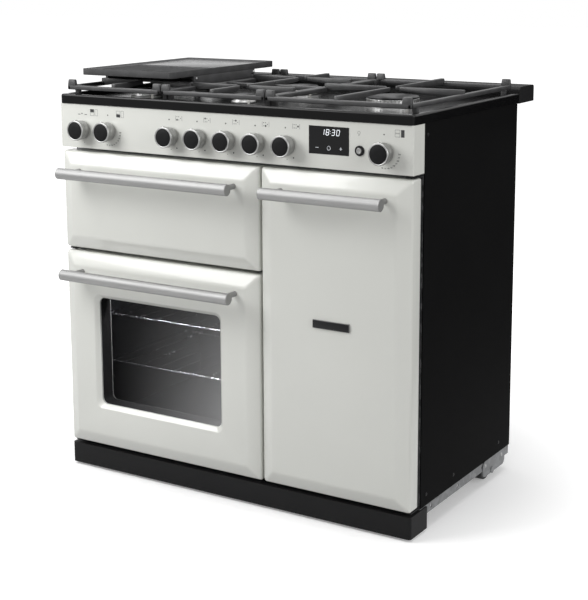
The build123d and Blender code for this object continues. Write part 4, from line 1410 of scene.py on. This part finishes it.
@dataclass(frozen=True)
class Burner:
    """One burner: its column on the hob, its place in millimetres and the radius of its head."""

    column: str
    x: float
    row: float
    radius: float

    def spot(self) -> Size:
        """Gives its place in metres."""
        return self.x * MM, behind(self.row)


FRONT_ROW, MIDDLE_ROW, REAR_ROW = 134.5, 256.5, 378.5
BURNERS = (
    Burner("left", -306.0, FRONT_ROW, 37.0),
    Burner("left", -306.0, REAR_ROW, 37.0),
    Burner("centre", -39.0, FRONT_ROW, 27.0),
    Burner("centre", -39.0, REAR_ROW, 45.0),
    Burner("right", 267.0, MIDDLE_ROW, 62.0),
)


@dataclass
class PanSupport:
    """A cast pan support: rails, tapering fingers, corner lugs and feet."""

    column: str
    rail: Size = (9 * MM, 10 * MM)
    rail_edge: float = 2.2 * MM
    lug: Point = (22 * MM, 10 * MM, 13 * MM)
    lug_taper: Size = (0.84, 0.8)
    lug_edge: float = 1.8 * MM
    lug_root: float = 2 * MM
    foot: float = 12 * MM
    foot_setback: float = 24 * MM
    foot_taper: Size = (0.75, 0.75)
    foot_edge: float = 1.2 * MM
    foot_gap: float = 1 * MM
    finger_root: Size = (11 * MM, 16 * MM)
    finger_tip: Size = (6 * MM, 9 * MM)
    finger_inset: float = 1.5 * MM
    finger_lift: float = 8 * MM
    finger_edge: float = 1.8 * MM
    tip_gap: float = 16 * MM

    def build(self) -> None:
        """Models the casting and dresses it."""
        node = f"{self.column}_pan_support"
        low, high = span(node)
        rail_top = high.z - self.lug[2]
        spots = [burner.spot() for burner in BURNERS if burner.column == self.column]
        pieces = self._rails(low, high, rail_top, len(spots))
        ends = [low.y, high.y]
        if len(spots) > 1:
            ends.insert(1, (low.y + high.y) / 2)
        for spot, *along in zip(spots, ends, ends[1:]):
            pieces += self._fingers(spot, (low.x, high.x), along, rail_top + self.finger_lift)
        pieces += self._lugs(low, high, rail_top) + self._feet(low, high, rail_top)
        Bench.dress(Bench.join(f"{node}_casting", pieces), CAST, node, "cast_iron", node)

    def _rails(self, low: Vector, high: Vector, top: float, burners: int) -> list[Piece]:
        """Makes the outer rails and, between two burners, the cross rail.

        Args:
            low: The casting's lowest corner.
            high: Its highest corner.
            top: The top of the rails.
            burners: How many burners the casting serves.

        Returns:
            The rails.
        """
        width, height = self.rail
        corners = [((x, low.y), (x + width, high.y)) for x in (low.x, high.x - width)]
        rows = [low.y, high.y - width]
        if burners > 1:
            rows.append((low.y + high.y - width) / 2)
        corners += [((low.x, y), (high.x, y + width)) for y in rows]
        return [
            Bench.block("rail", (*start, top - height), (*end, top), self.rail_edge, 3) for start, end in corners
        ]

    def _fingers(self, spot: Size, across: Size, along: Sequence[float], top: float) -> list[Piece]:
        """Makes the four fingers that reach in to one burner.

        Args:
            spot: The burner's place.
            across: Where the fingers from the sides begin.
            along: Where the fingers from the front and the rear begin.
            top: The top of the fingers.

        Returns:
            The fingers.
        """
        hub = Vector((*spot, top))
        roots = [Vector((edge, hub.y, top)) for edge in across] + [Vector((hub.x, edge, top)) for edge in along]
        made = []
        for root in roots:
            inward = (hub - root).normalized()
            start, end = root + inward * self.finger_inset, hub - inward * self.tip_gap
            made.append(Bench.bar("finger", start, end, self.finger_root, self.finger_tip, self.finger_edge))
        return made

    def _lugs(self, low: Vector, high: Vector, top: float) -> list[Piece]:
        """Makes the upright lug at each corner.

        Args:
            low: The casting's lowest corner.
            high: Its highest corner.
            top: The top of the rails.

        Returns:
            The lugs.
        """
        wide, deep, tall = self.lug
        lug = Bench.block("lug", (0.0, 0.0, top - self.lug_root), (wide, deep, top + tall))
        Bench.taper(lug, UPWARD, self.lug_taper, (wide / 2, deep / 2, top + tall))
        Bench.soften(lug, self.lug_edge, 3)
        return Bench.spread(lug, [at(x, y, 0.0) for x in (low.x, high.x - wide) for y in (low.y, high.y - deep)])

    def _feet(self, low: Vector, high: Vector, top: float) -> list[Piece]:
        """Makes the four feet.

        Args:
            low: The casting's lowest corner.
            high: Its highest corner.
            top: The top of the rails.

        Returns:
            The feet.
        """
        side = self.foot
        leg = Bench.block("leg", (0.0, 0.0, low.z), (side, side, top - self.foot_gap))
        Bench.taper(leg, DOWNWARD, self.foot_taper, (side / 2, side / 2, low.z))
        Bench.soften(leg, self.foot_edge)
        rows = (low.y + self.foot_setback, high.y - self.foot_setback - side)
        return Bench.spread(leg, [at(x, y, 0.0) for x in (low.x, high.x - side) for y in rows])


@dataclass
class BurnerSet:
    """The five burners in millimetres: a cast head with ports, an enamelled cap and an igniter."""

    crown: float = 15.0
    flange: float = 5.0
    cap: float = 5.0
    port_low: Point = (-4.0, -0.9, 8.0)
    port_high: Point = (3.0, 0.9, 13.0)
    port_pitch: float = 8.0
    fewest_ports: int = 16
    cup: float = 20.0
    cup_edge: float = 2.0
    cup_foot: float = 64.0
    cup_top: float = 30.0
    igniter_gap: float = 3.5
    igniter_angle: float = -0.6
    shell_rings: Rings = ((2.6, 0.0), (2.6, 9.0), (1.8, 11.0), (1.2, 11.4))
    wire_rings: Rings = ((0.8, 11.0), (0.8, 15.0), (0.4, 15.5))

    def build(self) -> None:
        """Models the heads, the caps and the igniters."""
        cap_base = span("burner_caps")[0].z
        floor = cap_base - self.crown * MM
        heads, caps, spots = [], [], []
        for burner in BURNERS:
            x, y = burner.spot()
            heads.append(self._head(Vector((x, y, floor)), burner.radius))
            caps.append(self._cap((x, y, cap_base), burner.radius - self.flange))
            reach = (burner.radius + self.igniter_gap) * MM
            spots.append(at(x + reach * cos(self.igniter_angle), y + reach * sin(self.igniter_angle), floor))
        pins = Bench.spread(Bench.turned("pin", self.shell_rings, ORIGIN, UPWARD, 16), spots)
        tips = Bench.spread(Bench.turned("tip", self.wire_rings, ORIGIN, UPWARD, 12), spots)
        Bench.dress(Bench.join("burner_heads_cast", heads), ALLOY, BODY, "burner_alloy", "burner_heads")
        Bench.dress(Bench.join("burner_caps_domed", caps), CAP_ENAMEL, BODY, "burner_cap_enamel", "burner_caps")
        Bench.dress(Bench.join("igniter_pins", pins), CERAMIC, BODY, "burner_alloy")
        Bench.dress(Bench.join("igniter_tips", tips), PART_STEEL, BODY, "steel")

    def _head(self, foot: Vector, radius: float) -> Piece:
        """Makes one head with its ports, neck and cup.

        Args:
            foot: The middle of the head at the hob's floor.
            radius: The head's radius.

        Returns:
            The head.
        """
        crown = radius - self.flange
        rings = (
            (22.0, -30.0), (22.0, 0.0), (radius - 1.0, 0.0), (radius, 1.0), (radius, 3.4), (radius - 0.8, 4.4),
            (crown + 1.2, 5.2), (crown + 0.3, 6.0), (crown, 7.0), (crown, self.crown - 1.0),
            (crown - 1.0, self.crown),
        )
        head = Bench.turned("head", rings, foot, UPWARD, 96)
        count = max(self.fewest_ports, int(2 * pi * crown / self.port_pitch))
        edge = Vector((crown, 0.0, 0.0))
        port = Bench.block("port", (edge + Vector(self.port_low)) * MM, (edge + Vector(self.port_high)) * MM)
        turns = [at(*foot) @ Matrix.Rotation(2 * pi * i / count, 4, "Z") for i in range(count)]
        Bench.cut(head, Bench.join("ports", Bench.spread(port, turns)))
        cup_low = foot - Vector((self.cup, self.cup, self.cup_foot)) * MM
        cup_high = foot + Vector((self.cup, self.cup, -self.cup_top)) * MM
        return Bench.join("head", [Bench.smooth(head), Bench.block("cup", cup_low, cup_high, self.cup_edge * MM)])

    def _cap(self, foot: Point, radius: float) -> Piece:
        """Makes one cap: a slightly domed disc with a rounded rim.

        Args:
            foot: The middle of its underside.
            radius: The cap's radius.

        Returns:
            The cap.
        """
        rings = (
            (radius - 2.0, 0.0), (radius - 0.4, 0.2), (radius, 0.9), (radius, 2.4), (radius - 0.6, 3.4),
            (radius - 2.2, 4.1), (radius * 0.6, self.cap - 0.3), (radius * 0.2, self.cap),
        )
        return Bench.turned("cap", rings, foot, UPWARD, 72)


@dataclass
class GriddlePlate:
    """The cast griddle: a rimmed plate with a ribbed strip at the front, on a skirt at each side."""

    skirt: Point = (8 * MM, 20 * MM, 84 * MM)
    notch: Size = (6.5 * MM, 11 * MM)
    skirt_edge: float = 1.5 * MM
    notch_edge: float = 2 * MM
    corner: float = 8 * MM
    edge: float = 1.2 * MM
    rim: float = 6 * MM
    depth: float = 5 * MM
    strip: float = 205 * MM
    strip_depth: float = 3 * MM
    strip_edge: float = 1.5 * MM
    rib_half: float = 1.6 * MM
    rib_rise: float = 1.6 * MM
    rib_edge: float = 0.8 * MM
    rib_count: int = 20
    rib_margin: float = 3 * MM
    pad_gap: float = 2 * MM
    pad_rise: float = 0.6 * MM
    pad_edge: float = 0.5 * MM
    pin_rings: Rings = ((2.6, -1.0), (2.6, 0.8), (1.8, 1.4))
    pin_insets: Size = (10 * MM, 6 * MM)
    pin_drop: float = 5 * MM

    def build(self) -> None:
        """Models the plate and dresses it."""
        low, high = span("griddle")
        base = low.z + self.skirt[1]
        sunk = high.z - self.depth
        plate = Bench.block("plate", (low.x, low.y, base), high)
        Bench.round_corners(plate, UPWARD, self.corner, 5)
        with Bench.shaping(plate):
            Bench.choose_facing(plate, UPWARD)
            bpy.ops.mesh.inset(thickness=self.rim, depth=0.0)
            bpy.ops.transform.translate(value=(0.0, 0.0, -self.depth))
        inner_low = Vector((low.x + 2 * self.rim, low.y + 2 * self.rim, sunk - self.strip_depth))
        strip_high = Vector((high.x - 2 * self.rim, low.y + self.strip, high.z))
        Bench.cut(plate, Bench.block("strip_cut", inner_low, strip_high, self.strip_edge))
        Bench.soften(plate, self.edge, 3, 35.0)
        pieces = [plate, *self._ribs(inner_low, strip_high), *self._skirts(low, high, base)]
        Bench.dress(Bench.join("griddle_plate", pieces), PLATE_CAST, "griddle", "cast_iron", "griddle")
        pad_low = (inner_low.x, strip_high.y + self.pad_gap, sunk - 1 * MM)
        pad_high = (strip_high.x, high.y - 2 * self.rim, sunk + self.pad_rise)
        pad = Bench.block("griddle_pad", pad_low, pad_high, self.pad_edge)
        Bench.dress(pad, PLATE_SMOOTH, "griddle", "cast_iron")

    def _ribs(self, low: Vector, high: Vector) -> list[Piece]:
        """Makes the ribs of the front strip.

        Args:
            low: The strip's lowest corner.
            high: Its highest corner.

        Returns:
            The ribs.
        """
        rib_low = (-self.rib_half, low.y + self.rib_margin, low.z - 1 * MM)
        rib_high = (self.rib_half, high.y - self.rib_margin, low.z + self.rib_rise)
        pitch = (high.x - low.x) / self.rib_count
        spots = [at(low.x + (i + 0.5) * pitch, 0.0, 0.0) for i in range(self.rib_count)]
        return Bench.spread(Bench.block("rib", rib_low, rib_high, self.rib_edge), spots)

    def _skirts(self, low: Vector, high: Vector, base: float) -> list[Piece]:
        """Makes the two skirts, notched over a finger of the pan support, and dresses their pins.

        Args:
            low: The griddle's lowest corner.
            high: Its highest corner.
            base: The underside of the plate.

        Returns:
            The skirts.
        """
        thick, _, inset = self.skirt
        half, tall = self.notch
        finger = behind(REAR_ROW)
        skirt_low, skirt_high = (0.0, low.y + inset, low.z), (thick, high.y - inset, base + MM)
        skirt = Bench.block("skirt", skirt_low, skirt_high, self.skirt_edge)
        gap_low, gap_high = (-MM, finger - half, low.z - MM), (thick + MM, finger + half, low.z + tall)
        Bench.smooth(Bench.cut(skirt, Bench.block("notch", gap_low, gap_high, self.notch_edge)))
        rows = (low.y + inset + self.pin_insets[0], high.y - inset - self.pin_insets[1])
        pins = []
        for face, side in ((low.x, -1.0), (high.x, 1.0)):
            pin = Bench.turned("pin", self.pin_rings, ORIGIN, (side, 0.0, 0.0), 20)
            pins += Bench.spread(pin, [at(face, y, base - self.pin_drop) for y in rows])
        Bench.dress(Bench.join("griddle_pins", pins), PART_STEEL, "griddle", "steel")
        return Bench.spread(skirt, [at(x, 0.0, 0.0) for x in (low.x, high.x - thick)])


@dataclass
class Badge:
    """The bare plate on the tall door: a black face on a thick grey back."""

    size: Size = (87 * MM, 17.5 * MM)
    centre: Size = (269.75 * MM, 439 * MM)
    back: float = 3.6 * MM
    back_edge: float = 0.6 * MM
    face: float = 0.5 * MM
    face_edge: float = 0.3 * MM
    margin: float = 0.7 * MM

    def build(self) -> None:
        """Models the back and the face."""
        door_y = span("tall_door_panel")[0].y
        middle_point = Vector((self.centre[0], door_y, self.centre[1]))
        reach = Vector((self.size[0] / 2, 0.0, self.size[1] / 2))
        front = Vector((0.0, self.back, 0.0))
        low, high = middle_point - reach - front, middle_point + reach
        Bench.dress(Bench.block("badge_back", low, high, self.back_edge, 3), BADGE_GREY, "tall_door", "steel")
        low += Vector((self.margin, -self.face, self.margin))
        high -= Vector((self.margin, self.back / 2, self.margin))
        Bench.dress(Bench.block("badge_plate", low, high, self.face_edge), CAP_ENAMEL, "tall_door", "black_enamel")


@dataclass
class Fixings:
    """The screws and rivets that show on the sides and at the base, in millimetres."""

    screw_spots: tuple[Size, ...] = ((62.4, 837.0), (75.0, 82.0), (206.0, 82.0), (446.0, 82.0))
    screw_rings: Rings = ((3.9, -0.1), (3.9, 0.3), (3.4, 0.9), (1.6, 1.2))
    slot_sizes: tuple[Size, ...] = ((0.4, 2.2), (2.2, 0.4))
    slot_rise: float = 1.6
    slot_depth: float = 1.0
    rivet_spots: tuple[Size, ...] = ((378.0, 46.0), (466.0, 46.0))
    rivet_rings: Rings = ((4.2, -0.1), (4.2, 0.4), (3.2, 1.1), (1.2, 1.4))
    bracket_gap: float = 1.5

    def build(self) -> None:
        """Models one screw head and one rivet for each side and sets copies of them."""
        side = span("side_panels")[1].x
        plate = span("roller_brackets")[1].x - self.bracket_gap * MM
        screws, rivets = [], []
        for sign in (-1.0, 1.0):
            spots = [at(sign * side, behind(depth), z * MM) for depth, z in self.screw_spots]
            screws += Bench.spread(self._screw(sign), spots)
            rivet = Bench.turned("rivet", self.rivet_rings, ORIGIN, (sign, 0.0, 0.0), 20)
            spots = [at(sign * plate, behind(depth), z * MM) for depth, z in self.rivet_spots]
            rivets += Bench.spread(rivet, spots)
        Bench.dress(Bench.join("side_screws", screws), CAP_ENAMEL, BODY, "black_enamel")
        Bench.dress(Bench.join("bracket_rivets", rivets), PART_STEEL, BODY, "steel")

    def _screw(self, sign: float) -> Piece:
        """Makes one cross-slotted screw head.

        Args:
            sign: One for the right side, minus one for the left.

        Returns:
            The screw head.
        """
        head = Bench.turned("screw", self.screw_rings, ORIGIN, (sign, 0.0, 0.0), 24)
        centre = Vector((sign * self.slot_rise, 0.0, 0.0))
        for size in self.slot_sizes:
            reach = Vector((self.slot_depth, *size))
            Bench.cut(head, Bench.block("slot", (centre - reach) * MM, (centre + reach) * MM))
        return Bench.smooth(head)


@dataclass
class OvenFittings:
    """The fan guards on the rear walls of the ovens and the oven lamp."""

    guard_half: float = 110 * MM
    guard_corner: float = 14 * MM
    guard_wall: float = 1 * MM
    guard_gap: float = 8 * MM
    slot_low: Point = (22 * MM, -20 * MM, -3 * MM)
    slot_high: Point = (62 * MM, 20 * MM, 3 * MM)
    slot_count: int = 16
    wall_gap: float = 2 * MM
    lens_inset: float = 70 * MM
    lens_rings: Rings = ((26.0, 0.0), (26.0, 5.0), (24.0, 7.0), (21.0, 7.4), (20.0, 9.5), (16.0, 13.0), (8.0, 15.0))
    light_offset: Point = (160 * MM, 20 * MM, -14 * MM)
    light_size: Size = (240 * MM, 12 * MM)
    light_power: float = 0.8

    def build(self) -> None:
        """Models a slotted guard in front of each fan, and the lamp."""
        for fan in ("left_oven_fan", "tall_oven_fan"):
            Bench.dress(self._guard(fan), OVEN_ENAMEL, BODY, "cavity_enamel")
        self._lamp()

    def _lamp(self) -> None:
        """Models the lens of the left oven's lamp and lights it."""
        low, high = span("left_oven_cavity")
        spot = (low.x + self.lens_inset, high.y - self.wall_gap, high.z - self.lens_inset)
        lens = Bench.turned("oven_lamp_lens", self.lens_rings, spot, FORWARD, 40)
        Bench.dress(lens, LENS, BODY, "oven_glass")
        place = Vector((low.x, low.y, high.z)) + Vector(self.light_offset)
        bpy.ops.object.light_add(type="AREA", location=place)
        bulb = bpy.context.object
        bulb.name = "oven_light"
        bulb.data.shape = "RECTANGLE"
        bulb.data.size, bulb.data.size_y = self.light_size
        bulb.data.energy = self.light_power
        bulb.visible_camera = False

    def _guard(self, fan: str) -> Piece:
        """Makes one guard: a shallow pressed box with a ring of slots.

        Args:
            fan: The node of the fan behind it.

        Returns:
            The guard.
        """
        half = self.guard_half
        front = span(fan)[0].y - self.guard_gap
        rear = span("left_oven_cavity")[1].y - self.wall_gap
        x, z = middle(fan).x, middle(fan).z
        shell = Bench.block(f"{fan}_guard", (x - half, front, z - half), (x + half, rear, z + half))
        Bench.round_corners(shell, FORWARD, self.guard_corner, 5)
        with Bench.shaping(shell):
            Bench.choose_facing(shell, BACKWARD)
            bpy.ops.mesh.delete(type="FACE")
        wall = shell.modifiers.new("wall", "SOLIDIFY")
        wall.thickness = self.guard_wall
        Bench.pick(shell)
        bpy.ops.object.modifier_apply(modifier=wall.name)
        step = 2 * pi / self.slot_count
        turns = [at(x, front, z) @ Matrix.Rotation(i * step, 4, "Y") for i in range(self.slot_count)]
        slots = Bench.spread(Bench.block("slot", self.slot_low, self.slot_high), turns)
        return Bench.smooth(Bench.cut(shell, Bench.join("slots", slots)))


@dataclass(frozen=True)
class SoftBox:
    """One square lamp of the studio."""

    name: str
    place: Point
    target: Point
    size: float
    power: float

    def hang(self) -> None:
        """Adds the lamp and aims it."""
        bpy.ops.object.light_add(type="AREA", location=self.place)
        lamp = bpy.context.object
        lamp.name = self.name
        lamp.data.size = self.size
        lamp.data.energy = self.power
        aim = Vector(self.target) - Vector(self.place)
        lamp.rotation_euler = aim.to_track_quat("-Z", "Y").to_euler()


@dataclass
class Studio:
    """The white studio: floor, black cloths, soft lights and the camera, with its angles in degrees."""

    camera_place: Point = (1.6679, -2.6608, 1.1793)
    pitch: float = 10.4406
    roll: float = -0.2577
    yaw: float = 31.9258
    lens: float = 83.4182
    sensor: float = 36.0
    shift: float = -0.1409
    floor_size: float = 40.0
    floor_tone: Colour = (0.88, 0.88, 0.88)
    bounce_tone: Colour = (0.42, 0.42, 0.42)
    base_lift: float = 0.22
    # Each step of the floor's glow, which grows away from the cooker and so paints shade on the floor round it: the
    # distance where it begins, how fast it grows and how far
    lifts: tuple[Point, ...] = ((0.45, 2.0, 0.43), (0.9, 1.5, 0.2))
    mirrored_lift: float = 0.15
    cloth_tone: Colour = (0.003, 0.003, 0.003)
    room_fill: float = 0.37
    soft_boxes: tuple[SoftBox, ...] = (
        SoftBox("key_box", (-1.0, -1.3, 1.6), (-0.2, -0.26, 0.6), 1.1, 22.0),
        SoftBox("top_box", (0.0, 0.1, 3.2), (0.0, 0.0, 0.5), 2.0, 40.0),
        SoftBox("edge_box", (-1.5, -0.5, 3.0), (-0.3, -0.3, 0.8), 0.7, 13.0),
        SoftBox("right_box", (3.2, -0.9, 1.6), (0.0, 0.0, 0.5), 1.8, 42.0),
    )

    def build(self) -> None:
        """Sets up the floor, the cloths, the world, the lamps and the camera."""
        self._floor()
        # the left cloth paints a reflection on the oven window: dark at its upper left, pale at its lower right
        self._flag("left_flag", (-3.4, -2.6, 0.004), (0.6, -0.5, 0.004), self._window_shade)
        self._flag("right_flag", (0.55, -0.6, 0.004), (12.0, 14.0, 0.004), self._side_shade)
        self._flag("rear_flag", (-0.5, 0.6, 0.8), (0.8, 0.6, 0.985), self._hob_shade)
        self._world()
        for box in self.soft_boxes:
            box.hang()
        self._camera()
        bpy.context.scene.view_settings.view_transform = "Standard"

    def _floor(self) -> None:
        """Lays a pale floor that keeps the object's shadow, with a camera-only glow that grows away from the cooker
        and so paints shade on the floor round it.
        """
        bpy.ops.object.select_all(action="DESELECT")
        bpy.ops.mesh.primitive_plane_add(size=self.floor_size, location=ORIGIN)
        floor = bpy.context.object
        floor.name = "studio_floor"
        material = bpy.data.materials.new("studio_floor_paint")
        desk = ShaderDesk(material)
        paint = desk.blend(desk.ray("Diffuse"), self.floor_tone, self.bounce_tone)
        board = desk.surface(Base_Color=paint, Roughness=0.9, Specular_IOR_Level=0.0)
        reach = desk.node("ShaderNodeVectorMath", {"operation": "LENGTH"}, {0: desk.place()}, "Value")
        # painted shade: the camera-only glow grows with distance from the cooker, so the floor close round it stays
        # darker, on top of its real shadow
        lift: Wire | float = self.base_lift
        for start, slope, gain in self.lifts:
            lift = ((reach - start) * slope).clamp() * gain + lift
        mirrored = (desk.ray("Glossy") + desk.ray("Transmission")) * self.mirrored_lift
        strength = lift * desk.ray("Camera") + mirrored
        glow = desk.node("ShaderNodeEmission", {}, {"Color": (1.0, 1.0, 1.0), "Strength": strength})
        desk.show(desk.node("ShaderNodeAddShader", {}, {0: board, 1: glow}))
        floor.data.materials.append(material)

    def _flag(self, name: str, low: Point, high: Point, shade: Callable[[ShaderDesk], Wire]) -> None:
        """Lays or hangs a black cloth that only gloss and glass mirror.

        Args:
            name: The cloth's name.
            low: Its lowest corner, on the left and at the front.
            high: The corner across from that.
            shade: Gives how dense the cloth is, from its own coordinates.
        """
        bpy.ops.object.select_all(action="DESELECT")
        size = Vector(high) - Vector(low)
        bpy.ops.mesh.primitive_plane_add(size=1.0, location=(Vector(low) + Vector(high)) / 2)
        flag = bpy.context.object
        flag.name = name
        flag.scale = (size.x, max(size.y, size.z), 1.0)
        flag.rotation_euler.x = pi / 2 if size.z else 0.0
        Bench.settle(flag)
        material = bpy.data.materials.new(f"{name}_cloth")
        desk = ShaderDesk(material)
        cloth = desk.surface(Base_Color=self.cloth_tone, Roughness=1.0, Specular_IOR_Level=0.0)
        clear = desk.node("ShaderNodeBsdfTransparent", {}, {})
        desk.show(desk.node("ShaderNodeMixShader", {}, {0: shade(desk), 1: clear, 2: cloth}))
        flag.data.materials.append(material)
        flag.visible_camera = False
        flag.visible_diffuse = False
        flag.visible_shadow = False

    def _window_shade(self, desk: ShaderDesk) -> Wire:
        """Grades the left cloth from the camera's place, so that the window mirrors it dark at its upper left and
        pale at its lower right: a painted reflection on the glass.

        Args:
            desk: The cloth's node tree.

        Returns:
            How dense the cloth is.
        """
        low, high = span("left_door_glass")
        eye_x, eye_y, eye_z = self.camera_place
        pale_foot, fade = 0.168, 2.25
        mirrored_eye = 2 * low.y - eye_y
        stretch = (mirrored_eye - desk.axis("Y")) / (mirrored_eye - low.y)
        left, width = low.x + WINDOW_RIM, high.x - low.x - 2 * WINDOW_RIM
        across = (((desk.axis("X") - eye_x) / stretch + (eye_x - left)) / width).clamp()
        level = eye_z - eye_z / stretch
        # painted reflection: how pale the cloth is where the window mirrors it, worked out from the camera's place
        pale = across * across * (1.0 - (level - pale_foot) * fade).clamp()
        return (1.0 - pale) * desk.ray("Singular")

    def _side_shade(self, desk: ShaderDesk) -> Wire:
        """Begins the right cloth softly beside the cooker."""
        return ((desk.axis("X") - 0.55) * 2.5).clamp()

    def _hob_shade(self, desk: ShaderDesk) -> Wire:
        """Begins the cloth behind the hob softly at its left."""
        return ((desk.axis("X") + 0.5) * 6.0).clamp() * 0.9

    def _world(self) -> None:
        """Fills the room with an even white light that the camera sees as white."""
        world = bpy.data.worlds.new("studio_room")
        bpy.context.scene.world = world
        desk = ShaderDesk(world)
        seen = (desk.ray("Camera") + desk.ray("Glossy") + desk.ray("Transmission")).clamp()
        desk.surface(Color=(1.0, 1.0, 1.0), Strength=seen * (1.0 - self.room_fill) + self.room_fill)

    def _camera(self) -> None:
        """Stands the camera where the photograph was taken from."""
        pitch, roll, yaw = radians(self.pitch), radians(self.roll), radians(self.yaw)
        forward = Vector((-sin(yaw) * cos(pitch), cos(yaw) * cos(pitch), -sin(pitch)))
        right = Vector((cos(yaw), sin(yaw), 0.0))
        upward = right.cross(forward)
        side = right * cos(roll) + upward * sin(roll)
        top = upward * cos(roll) - right * sin(roll)
        bpy.ops.object.camera_add(location=self.camera_place)
        camera = bpy.context.object
        camera.name = "studio_camera"
        camera.rotation_euler = Matrix((side, top, -forward)).transposed().to_euler()
        camera.data.sensor_fit = "VERTICAL"
        camera.data.sensor_height = self.sensor
        camera.data.lens = self.lens
        camera.data.shift_y = self.shift
        camera.data.clip_end = 100.0
        bpy.context.scene.camera = camera


def dress_nodes() -> None:
    """Gives every node of the frame its finish."""
    for finish, names in NODE_FINISHES.items():
        for name in names.split():
            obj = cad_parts[name]
            obj.data.materials.clear()
            obj.data.materials.append(finish.material())
            log.info("%s is finished in %s", name, finish.name)


def main() -> None:
    """Builds the cooker's pieces in order, then the studio."""
    dress_nodes()
    pieces = [
        WindowFront("left_door_panel", "left_door"),
        Front("tall_door_panel", "tall_door"),
        Front("grill_drawer_front", "grill_drawer"),
        Knobs(),
        LightButton(),
        PanelMarks(),
        *(PanSupport(column) for column in ("left", "centre", "right")),
        BurnerSet(),
        GriddlePlate(),
        Badge(),
        Fixings(),
        OvenFittings(),
        Studio(),
    ]
    for piece in pieces:
        piece.build()
        log.info("%s built", type(piece).__name__)


if __name__ == "__main__":
    main()
